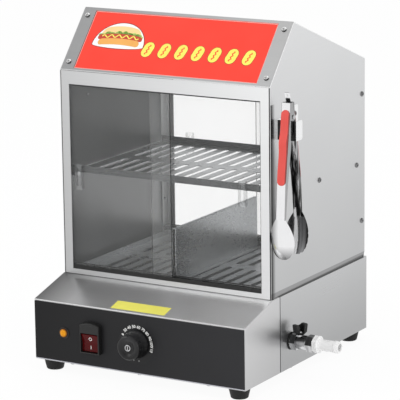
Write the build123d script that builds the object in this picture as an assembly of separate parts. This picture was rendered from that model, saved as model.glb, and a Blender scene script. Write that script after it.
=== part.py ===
from build123d import *
import os
from math import atan2, cos, degrees, hypot, pi, radians, sin, sqrt, tan

# Counter-top hot dog steamer: a stainless base with a water tank, a glazed hut-shaped
# cabinet with sliding doors front and rear, and a pair of tongs hung on the right side.
#
# Drawing frame, millimetres: X across with 0 in the middle of the cabinet, Y from the face
# of the control panel to the back, Z up from the table. The finished pieces are moved
# together at the end, so that the origin is the bottom centre of the whole appliance.

# ------------------------------------------------------------------ overall sizes
body_width = 376.0            # base, over its side walls
cabinet_side_inset = 1.5      # cabinet walls inside the sides of the base
body_depth = 401.5            # control panel face to the back of the base
foot_height = 17.8
panel_height = 96.3           # front edge of the base
base_height = 119.2           # base under the cabinet
housing_depth = 108.5         # front control housing, back to the side seam
cabinet_front = 85.0
cabinet_rear_inset = 5.0
wall_height = 324.8           # cabinet walls, base top to eaves
roof_rise = 88.6
ridge_setback = 76.0          # ridge behind the front wall

# ------------------------------------------------------------------ sheet and fits
sheet = 1.0                   # stainless sheet
bend_radius = 2.5             # outside radius of the bends
seam = 1.8                    # open seam between housing and base shell
joint_gap = 0.1               # butt seams between sheets
slide_gap = 0.3               # clearance of anything that slides or drops in
run_gap = 0.05                # radial clearance of shafts and pins
hole_gap = 0.1                # radial clearance of a fixed part in its hole

# ------------------------------------------------------------------ cabinet
stile = 16.7                  # window edge from the outside of the cabinet
sill = 8.8
header = 21.5
frame_side_gap = 1.4          # dark gap between a frame and the side walls
frame_top_gap = 0.6           # top of the frames below the eaves
tuck_height = 8.5             # inward tuck of the side walls at the back
tuck_depth = 1.2
tuck_front_share = 0.65       # size of the tuck at its front end
tuck_start = 12.0             # tuck starts this far behind the cabinet front
sign_margin_side = 24.0
sign_margin_low = 5.0
sign_margin_high = 5.6
sign_thick = 2.0
sign_edge = 4.0               # sign panel edge from the side wall
wall_screw_rear = 11.0        # wall screws from the cabinet's rear
wall_screw_high = 57.0        # upper wall screw below the eaves
wall_screw_low = 263.0        # lower wall screw below the eaves
sign_screw_side = 11.5        # screw centre from the cabinet's side
sign_screw_end = 15.5         # screw centre from the ends of the slope

# ------------------------------------------------------------------ sliding doors
pane_thick = 3.0
pane_overlap = 10.2           # a pane reaches this far past the middle of its track
pane_left_rest = 0.4          # left pane's edge to its stop
pane_right_rest = 20.9        # right pane's edge to its stop, pulled in a little
pane_corner = 3.0
track_wall = 1.2
track_web = 1.5
lower_groove_depth = 13.5
upper_groove_depth = 18.0     # deep enough to lift a pane out of the lower groove
upper_track_drop = 2.0        # upper track below the window's top edge
pane_entry = 3.5              # pane height inside the upper groove
handle_width = 13.5
handle_height = 41.0
handle_depth = 6.0
handle_gap = 0.3
handle_inset = 29.0           # handle centre from the outer edge of its pane
handle_rise = 157.5           # handle centre above the lower track

# ------------------------------------------------------------------ shelf and tray
shelf_top_rise = 160.8        # shelf above the base top
shelf_gap_side = 5.0
shelf_front = 21.0            # shelf edge behind the cabinet front
shelf_flange = 11.0
slot_width = 9.0
slot_length = 108.0
slot_pitch = 22.0
slot_land = 22.0              # plain strip between the two rows of slots
peg_radius = 4.0
peg_length = 11.0
peg_end = 29.0                # end pegs from the cabinet's front and rear
tray_lip = 9.0
tray_gap_side = 13.0
divider_height = 84.0
divider_width = 7.0
divider_foot = 9.0

# ------------------------------------------------------------------ base
bottom_flange = 12.0
overlay_thick = 1.2           # black control panel
overlay_inset = 2.4           # panel below the deck's front edge
overlay_side = 1.0            # panel from the sides of the base
tank_depth = 100.0
tank_half_width = 148.0
tank_front = 121.0
tank_rear_gap = 31.5          # tank to the back of the base
tank_corner = 9.0
tank_floor_radius = 7.0
tank_rim = 14.0
foot_top_radius = 17.0
foot_base_radius = 13.4
foot_inset_side = 22.0
foot_inset_end = 22.0
vent_count = 9
vent_length = 46.0
vent_width = 4.0
vent_pitch = 14.0
base_screw_pitch = 122.0
base_screw_edge = 5.0

# ------------------------------------------------------------------ heater and controls
element_radius = 4.0
element_rise = 16.0           # element axis above the tank floor
element_half_width = 108.0
element_end_half = 34.0
element_bend = 22.0
element_clear = 30.0          # element from the tank's end walls
element_tail = 15.0           # cold ends in front of the tank
gland_flats = 17.0
gland_nut = 5.0
probe_radius = 3.0
probe_length = 84.0
probe_x = 76.0
probe_rise = 34.0
capillary_radius = 1.2
cutout_radius = 9.0
cutout_thick = 11.0
cutout_x = -84.0
knob_x = -1.7
knob_rise = 47.6
knob_radius = 22.0
knob_face_radius = 19.8
knob_length = 25.0
knob_gap = 0.6
dish_depth = 2.4
cap_radius = 5.6
shaft_radius = 3.0
thermostat_size = 36.0
thermostat_length = 31.0
lamp_x = -132.8
lamp_rise = 48.5              # lamp above the base's lower edge
lamp_radius = 6.9
lamp_bezel = 9.3
switch_x = -81.5
switch_rise = 40.0            # rocker centre above the base's lower edge
rocker_width = 30.6
rocker_height = 28.6
rocker_gap = 0.9              # rocker to the top and bottom of its well
rocker_tilt = 7.0             # rest tilt either way
collar_width = 35.0
collar_low = 16.6             # collar below and above the rocker centre
collar_high = 32.0
collar_depth = 9.0
collar_arch = 4.0
case_depth = 20.0             # switch case behind the front wall
well_floor = 7.0              # floor of the rocker's well behind the panel face
rocker_pivot_y = 1.0
block_ways = 4
cable_x = -120.0
cable_rise = 34.0
cable_radius = 4.0

# ------------------------------------------------------------------ drain
drain_y = 145.5
drain_rise = 42.0             # drain axis above the base's lower edge
pipe_radius = 10.5
pipe_bore = 7.0
gasket_radius = 13.5
gasket_thick = 2.0
locknut_flats = 24.0
locknut_thick = 2.5
valve_length = 35.8
valve_radius = 12.2
valve_flats = 24.0
pipe_socket = 3.6             # drain pipe inside the valve
ball_place = 10.2             # ball from the valve's start
ball_radius = 6.5
ball_bore = 4.2
stem_radius = 3.0
boss_radius = 6.5
boss_height = 12.1            # above the flow axis
lever_turn = 23.0             # rest position of the handle from fully shut
wing_span = 21.0
wing_height = 16.2
wing_width = 9.7              # across the handle
wing_thick = 5.4              # at the tips
lever_plate = 2.6
stem_rise = 2.2               # stem above its boss
lever_screw_radius = 1.0
lever_screw_length = 6.0
nozzle_bore = 6.0
nozzle_spigot = 9.0
nozzle_length = 42.6          # outside the valve
nozzle_collar = 4.4
nozzle_ring = 13.3
tail_radius = 8.8

# ------------------------------------------------------------------ tongs and their bracket
tong_out = 22.1               # centre of the tongs outside the side wall
tong_y = 102.6
bracket_rise = 244.3          # lower edge above the base top
bracket_tall = 30.0
bracket_screw_back = 56.5     # bracket screw behind the tongs
bracket_reach = 34.5
bracket_sheet = 1.2
bracket_lip = 19.6
bracket_foot = 68.0
tab_height = 13.0
tab_width = 23.0
ear_radius = 6.0
tong_pin = 2.0
arm_width = 15.2
arm_sheet = 0.9
head_rise = 22.0              # arm ends above the pin
arm_head = 8.8                # outer face of the front arm from the pin, at the head
rear_arm_head = 4.9           # the same for the rear arm
grip_low = 100.0              # below the pin
grip_reach = 25.0             # outer face at the lower end of the grip
scoop_start = 150.0
scoop_reach = 29.4
scoop_length = 213.6          # tip below the pin
scoop_half = 19.9
scoop_bowl = 33.0             # radius of the bowl across the scoop
grip_thick = 2.4
grip_thumb = 2.2              # thumb rise of the front grip
rear_grip_thick = 1.2
grip_belly_high = 70.0        # straight run below the thumb rise, below the pin
grip_belly_low = 90.0
grip_width = 12.6
grip_high = 11.5              # upper end of the grip above the pin
scallops = 5
scallop_radius = 2.4
tab_rise = 11.4               # foot of the lock tab above the pin

# ------------------------------------------------------------------ worked-out places
half = body_width / 2
hut_half = half - cabinet_side_inset
base_low = foot_height
panel_top = base_low + panel_height
base_top = base_low + base_height
eave = base_top + wall_height
ridge = eave + roof_rise
cabinet_rear = body_depth - cabinet_rear_inset
cabinet_mid = (cabinet_front + cabinet_rear) / 2
ridge_y = cabinet_front + ridge_setback
frame_half = hut_half - sheet - frame_side_gap
window_half = hut_half - stile
window_low = base_top + sill
window_high = eave - header
slope_length = hypot(ridge_setback, roof_rise)
slope_angle = degrees(atan2(roof_rise, ridge_setback))
lamp_z = base_low + lamp_rise
knob_z = base_low + knob_rise
drain_z = base_low + drain_rise
tong_x = hut_half + tong_out
bracket_low = base_top + bracket_rise
bracket_high = bracket_low + bracket_tall
pin_z = bracket_high + ear_radius + slide_gap
housing_front = overlay_thick
groove = pane_thick + 2 * slide_gap
pane_pitch = pane_thick + handle_depth + 2 * handle_gap
track_front = cabinet_front + sheet
track_half = frame_half - sheet - slide_gap
pane_width = track_half + pane_overlap
track_depth = 2 * track_wall + groove + pane_pitch
pane_low = base_top + track_web + slide_gap
upper_track_low = window_high - upper_track_drop
upper_track_high = upper_track_low + upper_groove_depth + track_web
pane_high = upper_track_low + pane_entry
shelf_top = base_top + shelf_top_rise
shelf_half = hut_half - sheet - shelf_gap_side
shelf_y0 = cabinet_front + shelf_front
shelf_y1 = cabinet_rear - shelf_front
tank_top = base_top + sheet
tank_rear = body_depth - tank_rear_gap
tray_half = hut_half - sheet - tray_gap_side
tray_top = tank_top + sheet
tank_low = tank_top - tank_depth
element_z = tank_low + sheet + element_rise
screw_head = 4.2
screw_head_height = 2.2
screw_shank = 2.0


# ------------------------------------------------------------------ shape helpers
def block(x0, x1, y0, y1, z0, z1):
    """A box between two opposite corners."""
    centre = Pos((x0 + x1) / 2, (y0 + y1) / 2, (z0 + z1) / 2)
    return centre * Box(abs(x1 - x0), abs(y1 - y0), abs(z1 - z0))


def side_prism(outline, x0, x1):
    """An outline of (y, z) points seen from the side, extruded across from x0 to x1."""
    face = make_face(Polyline(*outline, close=True))
    return extrude(Plane.YZ.offset(x0) * face, amount=x1 - x0, dir=(1, 0, 0))


def front_prism(face, y0, y1):
    """A face drawn in (x, z) on the front view, extruded back from y0 to y1."""
    return extrude(Plane.XZ.offset(-y0) * face, amount=y1 - y0, dir=(0, 1, 0))


def front_plate(x0, x1, z0, z1, y0, y1, corner):
    """A plate with round corners, square to Y."""
    face = Pos((x0 + x1) / 2, (z0 + z1) / 2) * RectangleRounded(x1 - x0, z1 - z0, corner)
    return front_prism(face, y0, y1)


def flat_plate(x0, x1, y0, y1, z0, z1, corner):
    """A level plate with round corners."""
    face = Pos((x0 + x1) / 2, (y0 + y1) / 2, z0) * RectangleRounded(x1 - x0, y1 - y0, corner)
    return extrude(face, amount=z1 - z0)


def rod(start, end, radius):
    """A round bar between two points."""
    axis = Vector(*end) - Vector(*start)
    return extrude(Plane(start, z_dir=axis) * Circle(radius), amount=axis.length)


def hex_bar(start, end, flats, bore=0.0, turn=0.0):
    """A hexagonal bar between two points, with an optional round bore."""
    axis = Vector(*end) - Vector(*start)
    face = RegularPolygon(flats / 2, 6, major_radius=False, rotation=turn)
    if bore:
        face = face - Circle(bore)
    return extrude(Plane(start, z_dir=axis) * face, amount=axis.length)


def turned(profile, origin, axis):
    """A turned piece: (radius, height) points, heights along the axis from the origin."""
    face = Plane.XZ * make_face(Polyline(*profile, close=True))
    return Plane(origin, z_dir=axis).location * revolve(face, Axis.Z)


def pan_screw(seat, axis, shank, head=screw_head, radius=screw_shank):
    """A pan-head cross-recess screw. The head's underside is at the seat; axis points out."""
    low = 0.25 * screw_head_height
    profile = [(0, -shank), (radius, -shank), (radius, 0), (head, 0), (head, low),
               (0.8 * head, 0.8 * screw_head_height), (0.4 * head, screw_head_height),
               (0, screw_head_height)]
    screw = turned(profile, (0, 0, 0), (0, 0, 1))
    arm = 0.55 * head
    depth = 0.5 * screw_head_height
    width = 0.14 * head
    for across, along in ((arm, width), (width, arm)):
        screw -= block(-across, across, -along, along, depth, 2 * screw_head_height)
    return Plane(seat, z_dir=axis).location * screw


def turn_round(piece):
    """The same piece at the back of the cabinet, turned half round about its middle."""
    return Pos(0, cabinet_mid, 0) * Rot(0, 0, 180) * Pos(0, -cabinet_mid, 0) * piece


def on_slope(piece):
    """Moves a piece drawn flat, with Y up the slope and Z outward, on to the front roof."""
    return Pos(0, cabinet_front, eave) * Rot(slope_angle, 0, 0) * piece


# ------------------------------------------------------------------ base
def housing_outline():
    return [(housing_front, base_low), (housing_front, panel_top),
            (cabinet_front, base_top), (housing_depth, base_top), (housing_depth, base_low)]


def bottom_screw_places():
    """Screws round the underside, as (x, y)."""
    front_y = housing_front + base_screw_edge
    rear_y = body_depth - base_screw_edge
    side_x = half - base_screw_edge
    places = [(n * base_screw_pitch, front_y) for n in (-1, 0, 1)]
    places += [(n * base_screw_pitch, rear_y) for n in (-1, 0, 1)]
    places += [(side * side_x, y) for side in (-1, 1) for y in (cabinet_mid, housing_depth + 40)]
    return places


def drill_bottom(piece):
    for x, y in bottom_screw_places():
        piece -= rod((x, y, 0), (x, y, base_low + 4 * sheet), screw_shank + hole_gap)
    return piece


def foot_places():
    return [(side * (half - foot_inset_side), y)
            for side in (-1, 1) for y in (foot_inset_end, body_depth - foot_inset_end)]


def switch_cutout(y0, y1):
    wide = rocker_width / 2 + 2 * slide_gap + sheet
    tall = rocker_height / 2 + rocker_gap + sheet
    z = base_low + switch_rise
    return block(switch_x - wide, switch_x + wide, y0, y1, z - tall, z + tall)


def pierce_front(piece):
    """Openings for the knob shaft, the lamp and the switch."""
    y0 = -1.0
    y1 = housing_front + 2 * sheet
    piece -= rod((knob_x, y0, knob_z), (knob_x, y1, knob_z), shaft_radius + 1.0)
    piece -= rod((lamp_x, y0, lamp_z), (lamp_x, y1, lamp_z), lamp_radius - 0.4)
    return piece - switch_cutout(y0, y1)


def control_housing():
    """Front housing: front wall, sloping deck and two cheeks folded from one sheet."""
    outer = side_prism(housing_outline(), -half, half)
    soft = [e for e in outer.edges()
            if e.center().Y < housing_depth - 1 and e.center().Z > base_low + 1
            and (abs(e.center().X) > half - 1 or e.center().Y < housing_front + 1)]
    outer = fillet(soft, sheet)
    face = offset(make_face(Polyline(*housing_outline(), close=True)), amount=-sheet)
    inner = extrude(Plane.YZ.offset(-half + sheet) * face, amount=body_width - 2 * sheet,
                    dir=(1, 0, 0))
    inside = half - sheet
    inner += block(-inside, inside, housing_depth - 2 * sheet, housing_depth + sheet,
                   base_low - sheet, base_top - sheet)
    inner += block(-inside, inside, housing_front + sheet, housing_depth + sheet,
                   base_low - sheet, base_low + 3 * sheet)
    shell = outer - inner
    z0 = base_low + sheet
    shell += block(-inside, inside, housing_front + sheet, housing_front + sheet + bottom_flange,
                   z0, z0 + sheet)
    return drill_bottom(pierce_front(shell))


def control_panel():
    """Black plate over the front wall."""
    edge = half - overlay_side
    plate = front_plate(-edge, edge, base_low + sheet, panel_top - overlay_inset,
                        0, overlay_thick, 1.0)
    return pierce_front(plate)


def base_shell():
    """Rear of the base, of butt-jointed sheets: sides, back and the top round the tank."""
    y0 = housing_depth + seam
    outer = block(-half, half, y0, body_depth, base_low, base_top)
    corners = [e for e in outer.edges().filter_by(Axis.Z) if e.center().Y > y0 + 1]
    outer = fillet(corners, bend_radius)
    inner = block(-half + sheet, half - sheet, y0 - sheet, body_depth - sheet,
                  base_low - sheet, base_top - sheet)
    corners = [e for e in inner.edges().filter_by(Axis.Z) if e.center().Y > y0 + 1]
    inner = fillet(corners, bend_radius - sheet)
    shell = outer - inner
    fit = 0.6
    shell -= flat_plate(-tank_half_width - fit, tank_half_width + fit, tank_front - fit,
                        tank_rear + fit, base_top - 2 * sheet, base_top + sheet,
                        tank_corner + fit)
    z0 = base_low + sheet
    inside = half - sheet
    for x0 in (-inside, inside - bottom_flange):
        shell += block(x0, x0 + bottom_flange, y0, body_depth - sheet - bend_radius,
                       z0, z0 + sheet)
    shell += block(-inside + bend_radius, inside - bend_radius,
                   body_depth - sheet - bottom_flange, body_depth - sheet, z0, z0 + sheet)
    for x0 in (-tank_half_width - fit, tank_half_width + fit - joint_gap):
        shell -= block(x0, x0 + joint_gap, y0, body_depth, base_low, base_top)
    shell -= rod((half - 3, drain_y, drain_z), (half + 3, drain_y, drain_z),
                 pipe_radius + hole_gap)
    cable_z = base_low + cable_rise
    shell -= rod((cable_x, body_depth - 3, cable_z), (cable_x, body_depth + 3, cable_z),
                 2 * cable_radius + hole_gap)
    return drill_bottom(shell)


def bottom_plate():
    """Closing plate with two banks of vent slots."""
    edge = half - sheet - 0.2
    plate = flat_plate(-edge, edge, housing_front + sheet + 0.2, body_depth - sheet - 0.2,
                       base_low, base_low + sheet, bend_radius)
    for n in range(vent_count):
        x = (n - (vent_count - 1) / 2) * vent_pitch
        for y in (cabinet_front - vent_length / 2, cabinet_mid + vent_length):
            slot = Pos(x, y, base_low) * SlotOverall(vent_length, vent_width, rotation=90)
            plate -= extrude(slot, amount=sheet)
    for x, y in foot_places():
        plate -= rod((x, y, 0), (x, y, 2 * base_low), screw_shank + hole_gap)
    return drill_bottom(plate)


def rubber_feet():
    """Four tapered feet with a sunk screw seat."""
    seat = 0.55 * foot_height
    bore = screw_shank + hole_gap
    profile = [(bore, seat), (bore, foot_height), (foot_top_radius, foot_height),
               (foot_top_radius, foot_height - 2), (foot_base_radius, 1),
               (foot_base_radius - 1, 0), (screw_head + 1, 0), (screw_head + 1, seat)]
    foot = turned(profile, (0, 0, 0), (0, 0, 1))
    return Compound([Pos(x, y, 0) * foot for x, y in foot_places()])


def foot_screws():
    seat = 0.55 * foot_height
    shank = foot_height - seat + 2 * sheet
    screws = [pan_screw((x, y, seat), (0, 0, -1), shank) for x, y in foot_places()]
    return Compound(screws)


def bottom_screws():
    shank = 3 * sheet
    screws = [pan_screw((x, y, base_low), (0, 0, -1), shank) for x, y in bottom_screw_places()]
    return Compound(screws)


# ------------------------------------------------------------------ water side
def water_tank():
    """Drawn pan hung by its rim in the top of the base."""
    wide = tank_half_width
    pan = flat_plate(-wide, wide, tank_front, tank_rear, tank_low, tank_top, tank_corner)
    pan = fillet(pan.faces().sort_by(Axis.Z)[0].edges(), tank_floor_radius)
    hollow = flat_plate(-wide + sheet, wide - sheet, tank_front + sheet, tank_rear - sheet,
                        tank_low + sheet, tank_top + sheet, tank_corner - sheet)
    hollow = fillet(hollow.faces().sort_by(Axis.Z)[0].edges(), tank_floor_radius - sheet)
    rim = flat_plate(-wide - tank_rim, wide + tank_rim, shelf_y0, shelf_y1,
                     base_top, tank_top, tank_corner)
    tank = pan + rim - hollow
    for x, z in ((-element_end_half, element_z), (element_end_half, element_z)):
        tank -= rod((x, tank_front - 1, z), (x, tank_front + 3, z), element_radius + hole_gap)
    probe_z = tank_low + probe_rise
    tank -= rod((probe_x, tank_front - 1, probe_z), (probe_x, tank_front + 3, probe_z),
                probe_radius + hole_gap)
    tank -= rod((wide - 3, drain_y, drain_z), (wide + 3, drain_y, drain_z),
                pipe_radius + hole_gap)
    return tank


def heating_element():
    """Tubular immersion element, one loop round the tank with two cold ends in front."""
    front = tank_front + element_clear
    rear = tank_rear - element_clear
    tail = tank_front - element_tail
    wide = element_half_width
    near = element_end_half
    route = [(-near, tail), (-near, front), (-wide, front), (-wide, rear),
             (wide, rear), (wide, front), (near, front), (near, tail)]
    path = FilletPolyline(*[(x, y, element_z) for x, y in route], radius=element_bend)
    tube = sweep(Plane(path @ 0, z_dir=path % 0) * Circle(element_radius), path=path)
    for x in (-near, near):
        tube += rod((x, tail, element_z), (x, tail - 8, element_z), 0.4 * element_radius)
    return tube


def tank_gland_nuts():
    """Brass nuts that clamp the element ends and the probe to the tank's front wall."""
    probe_z = tank_low + probe_rise
    nuts = []
    for x, z, bore in ((-element_end_half, element_z, element_radius),
                       (element_end_half, element_z, element_radius),
                       (probe_x, probe_z, probe_radius)):
        for y0, y1 in ((tank_front - gland_nut, tank_front),
                       (tank_front + sheet, tank_front + sheet + gland_nut)):
            nuts.append(hex_bar((x, y0, z), (x, y1, z), gland_flats, bore + hole_gap))
    return Compound(nuts)


def temperature_probe():
    """Bulb in the water and the capillary back to the thermostat."""
    probe_z = tank_low + probe_rise
    bulb = rod((probe_x, tank_front - gland_nut - 2, probe_z),
               (probe_x, tank_front + probe_length, probe_z), probe_radius)
    start_y = tank_front - gland_nut - 2
    end_y = housing_front + sheet + thermostat_length / 2
    route = [(probe_x, start_y, probe_z), (probe_x, start_y - 25, probe_z),
             (probe_x, end_y + 10, knob_z), (probe_x - 22, end_y, knob_z),
             (knob_x + thermostat_size / 2 + joint_gap, end_y, knob_z)]
    path = FilletPolyline(*route, radius=8)
    tube = sweep(Plane(path @ 0, z_dir=path % 0) * Circle(capillary_radius), path=path)
    return bulb + tube


def thermal_cutout():
    """Dry-boil cut-out, a disc thermostat strapped to the tank's front wall."""
    z = element_z
    y = tank_front
    disc = rod((cutout_x, y, z), (cutout_x, y - cutout_thick, z), cutout_radius)
    strap = block(cutout_x - 16, cutout_x + 16, y - 1.2, y, z - 5, z + 5)
    tags = block(cutout_x - 6, cutout_x - 4.8, y - cutout_thick - 8, y - cutout_thick,
                 z - 3, z + 3)
    tags += block(cutout_x + 4.8, cutout_x + 6, y - cutout_thick - 8, y - cutout_thick,
                  z - 3, z + 3)
    return disc + strap + tags


# ------------------------------------------------------------------ controls
def thermostat_body():
    side = thermostat_size / 2
    y0 = housing_front + sheet
    y1 = y0 + thermostat_length
    body = front_plate(knob_x - side, knob_x + side, knob_z - side, knob_z + side, y0, y1, 3)
    body += front_plate(knob_x - side - 6, knob_x + side + 6, knob_z - 8, knob_z + 8,
                        y0, y0 + 1.5, 3)
    return body - rod((knob_x, y0 - 1, knob_z), (knob_x, y0 + 14, knob_z),
                      shaft_radius + run_gap)


def thermostat_shaft():
    """Shaft with a flat, from the thermostat into the knob."""
    y0 = -knob_gap - 0.55 * knob_length
    y1 = housing_front + sheet + 13.5
    shaft = rod((knob_x, y0, knob_z), (knob_x, y1, knob_z), shaft_radius)
    return shaft - block(knob_x - 4, knob_x + 4, y0 - 1, -knob_gap, knob_z + 2.2, knob_z + 4)


def temperature_knob():
    """Round knob with a dished face, a centre cap and a raised pointer."""
    bore = shaft_radius + run_gap
    top = knob_length
    depth = 0.58 * knob_length
    profile = [(bore, 0), (knob_radius - 0.6, 0), (knob_radius, 0.6),
               (knob_face_radius, top - 4), (knob_face_radius - 0.5, top - 2.2),
               (knob_face_radius - 1.6, top - 0.8), (knob_face_radius - 3.2, top - 0.1),
               (knob_face_radius - 4.8, top), (knob_face_radius - 7, top - 0.6),
               (0.48 * knob_face_radius, top - dish_depth),
               (cap_radius + 1.2, top - dish_depth - 0.1), (cap_radius, top - dish_depth + 1),
               (cap_radius - 1, top - dish_depth + 1.4), (0, top - dish_depth + 1.4),
               (0, depth), (bore, depth)]
    knob = turned(profile, (knob_x, -knob_gap, knob_z), (0, -1, 0))
    y1 = -knob_gap - top
    pointer = block(knob_x - 0.8, knob_x + 0.8, y1, y1 + 5,
                    knob_z + 0.72 * knob_face_radius, knob_z + knob_face_radius - 0.6)
    return knob + pointer


def switch_body():
    """Rocker switch housing with a raised splash collar, a neck and a rear case."""
    z = base_low + switch_rise
    y_in = housing_front + sheet
    side = collar_width / 2
    top = collar_high - collar_arch
    arch = ThreePointArc((side, top), (0, collar_high), (-side, top))
    rest = Polyline((-side, top), (-side, -collar_low), (side, -collar_low), (side, top))
    face = Pos(switch_x, z) * make_face(Curve() + [arch, rest])
    body = front_prism(face, -collar_depth, 0)
    crown = body.faces().sort_by(Axis.Y)[0].edges()
    body = fillet(crown, 2.0)
    wide = rocker_width / 2 + slide_gap
    tall = rocker_height / 2 + rocker_gap
    wall = sheet - 0.2
    body += block(switch_x - wide - wall, switch_x + wide + wall, 0, y_in + case_depth,
                  z - tall - wall, z + tall + wall)
    body -= block(switch_x - wide, switch_x + wide, -collar_depth - 1, well_floor,
                  z - tall, z + tall)
    pivot_y = rocker_pivot_y
    body -= rod((switch_x - wide - 0.6, pivot_y, z), (switch_x + wide + 0.6, pivot_y, z),
                1.5 + run_gap)
    return body


def power_rocker():
    """Rocker with a shallow V face, tilted to one side, on two stub pins."""
    z = base_low + switch_rise
    tall = rocker_height / 2
    wide = rocker_width / 2
    outline = [(-6.2, tall - 0.8), (-5.4, tall), (2.5, 0.7 * tall), (3.5, 0), (2.5, -0.7 * tall),
               (-5.4, -tall), (-6.2, -tall + 0.8), (-4.4, 0)]
    body = side_prism(outline, -wide, wide)
    body += rod((-wide - 0.5, 0, 0), (wide + 0.5, 0, 0), 1.5)
    return Pos(switch_x, rocker_pivot_y, z) * Rot(rocker_tilt, 0, 0) * body


def lamp_body():
    y_in = housing_front + sheet
    neck = lamp_radius - 0.5
    profile = [(0, -y_in - 18), (neck - 0.4, -y_in - 18), (neck - 0.4, -y_in), (neck, -y_in),
               (neck, 0), (lamp_bezel, 0), (lamp_bezel, 0.8), (lamp_bezel - 0.8, 1.6),
               (lamp_radius + 0.2, 1.6), (lamp_radius + 0.2, 0.3), (0, 0.3)]
    return turned(profile, (lamp_x, 0, lamp_z), (0, -1, 0))


def lamp_lens():
    dome = [(0, 0.3), (lamp_radius, 0.3), (lamp_radius, 2.2), (0.9 * lamp_radius, 3.1),
            (0.6 * lamp_radius, 4.0), (0, 4.4)]
    return turned(dome, (lamp_x, 0, lamp_z), (0, -1, 0))


def terminal_block():
    """Four-way terminal strip standing on the bottom plate."""
    way = 12.0
    x0 = 96.0
    y0 = 50.0
    z0 = base_low + sheet
    body = block(x0, x0 + way * block_ways, y0, y0 + 20, z0, z0 + 8)
    body += block(x0, x0 + way * block_ways, y0 + 6, y0 + 14, z0 + 8, z0 + 16)
    for n in range(block_ways):
        x = x0 + (n + 0.5) * way
        body -= rod((x, y0 - 1, z0 + 4), (x, y0 + 21, z0 + 4), 2.0)
    return body


def cable_gland():
    """Cable gland in the back wall: hexagon, domed cap and inner locknut."""
    z = base_low + cable_rise
    y = body_depth
    bore = cable_radius
    thread = 2 * cable_radius
    cap = [(bore, -9), (thread, -9), (thread, 4), (thread + 2.2, 4), (thread + 2.2, 11),
           (thread + 0.8, 15), (thread - 1.6, 18), (bore, 18)]
    body = turned(cap, (cable_x, y, z), (0, 1, 0))
    body += hex_bar((cable_x, y, z), (cable_x, y + 5, z), 22, thread - 0.5)
    nut = hex_bar((cable_x, y - sheet, z), (cable_x, y - sheet - 4, z), 22, thread + run_gap)
    return Compound([body, nut])


# ------------------------------------------------------------------ drain
def drain_pipe():
    """Threaded tail from the tank wall to the valve, with a flange inside the tank."""
    x0 = tank_half_width - sheet
    x1 = valve_start() + pipe_socket - slide_gap
    profile = [(pipe_bore, -2), (pipe_radius + 4, -2), (pipe_radius + 4, 0),
               (pipe_radius, 0), (pipe_radius, x1 - x0), (pipe_bore, x1 - x0)]
    return turned(profile, (x0, drain_y, drain_z), (1, 0, 0))


def drain_gasket():
    ring = [(pipe_radius + hole_gap, 0), (gasket_radius, 0), (gasket_radius + 0.5, 1),
            (gasket_radius, gasket_thick), (pipe_radius + hole_gap, gasket_thick)]
    return turned(ring, (half, drain_y, drain_z), (1, 0, 0))


def drain_locknut():
    x0 = half + gasket_thick
    ring = [(pipe_radius + hole_gap, 0), (gasket_radius - 0.8, 0), (gasket_radius - 0.8, 1),
            (pipe_radius + hole_gap, 1)]
    nut = turned(ring, (x0, drain_y, drain_z), (1, 0, 0))
    return nut + hex_bar((x0, drain_y, drain_z), (x0 + locknut_thick, drain_y, drain_z),
                         locknut_flats, pipe_radius + hole_gap, turn=30)


def valve_start():
    return half + gasket_thick + locknut_thick + joint_gap


def ball_x():
    return valve_start() + ball_place


def turn_handle(piece):
    """Turns the ball and its handle from fully shut to the rest position."""
    return Pos(ball_x(), drain_y, 0) * Rot(0, 0, -lever_turn) * Pos(-ball_x(), -drain_y, 0) * piece


def valve_body():
    """Ball valve body: hexagons at both ends, a round chamber and the stem's boss."""
    x0 = valve_start()
    x1 = x0 + valve_length
    centre = ball_x()
    r = valve_radius
    body = hex_bar((x0, drain_y, drain_z), (x0 + 7, drain_y, drain_z), valve_flats, turn=30)
    body += hex_bar((x1 - 11, drain_y, drain_z), (x1, drain_y, drain_z), valve_flats, turn=30)
    end = valve_length
    outline = [(0, 7), (r - 2, 7), (r - 1, 8.4), (r - 1, end - 12.6), (r - 2, end - 11),
               (0, end - 11)]
    body += turned(outline, (x0, drain_y, drain_z), (1, 0, 0))
    body += rod((centre, drain_y, drain_z), (centre, drain_y, drain_z + boss_height), boss_radius)
    body -= rod((x0 - 1, drain_y, drain_z), (x0 + pipe_socket, drain_y, drain_z),
                pipe_radius + hole_gap)
    body -= rod((x0, drain_y, drain_z), (x1 + 1, drain_y, drain_z), nozzle_bore)
    body -= Pos(centre, drain_y, drain_z) * Sphere(ball_radius + run_gap)
    body -= rod((x1 - 8, drain_y, drain_z), (x1 + 1, drain_y, drain_z), nozzle_spigot + run_gap)
    return body - rod((centre, drain_y, drain_z), (centre, drain_y, drain_z + boss_height + 1),
                      stem_radius + run_gap)


def valve_ball():
    """Ball and stem. The bore lies across the flow when the valve is shut."""
    centre = ball_x()
    top = drain_z + boss_height + stem_rise
    ball = Pos(centre, drain_y, drain_z) * Sphere(ball_radius)
    ball += rod((centre, drain_y, drain_z), (centre, drain_y, top), stem_radius)
    ball -= rod((centre, drain_y, top - lever_screw_length), (centre, drain_y, top + 1),
                lever_screw_radius + hole_gap)
    ball -= rod((centre, drain_y - 10, drain_z), (centre, drain_y + 10, drain_z), ball_bore)
    return turn_handle(ball)


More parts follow.
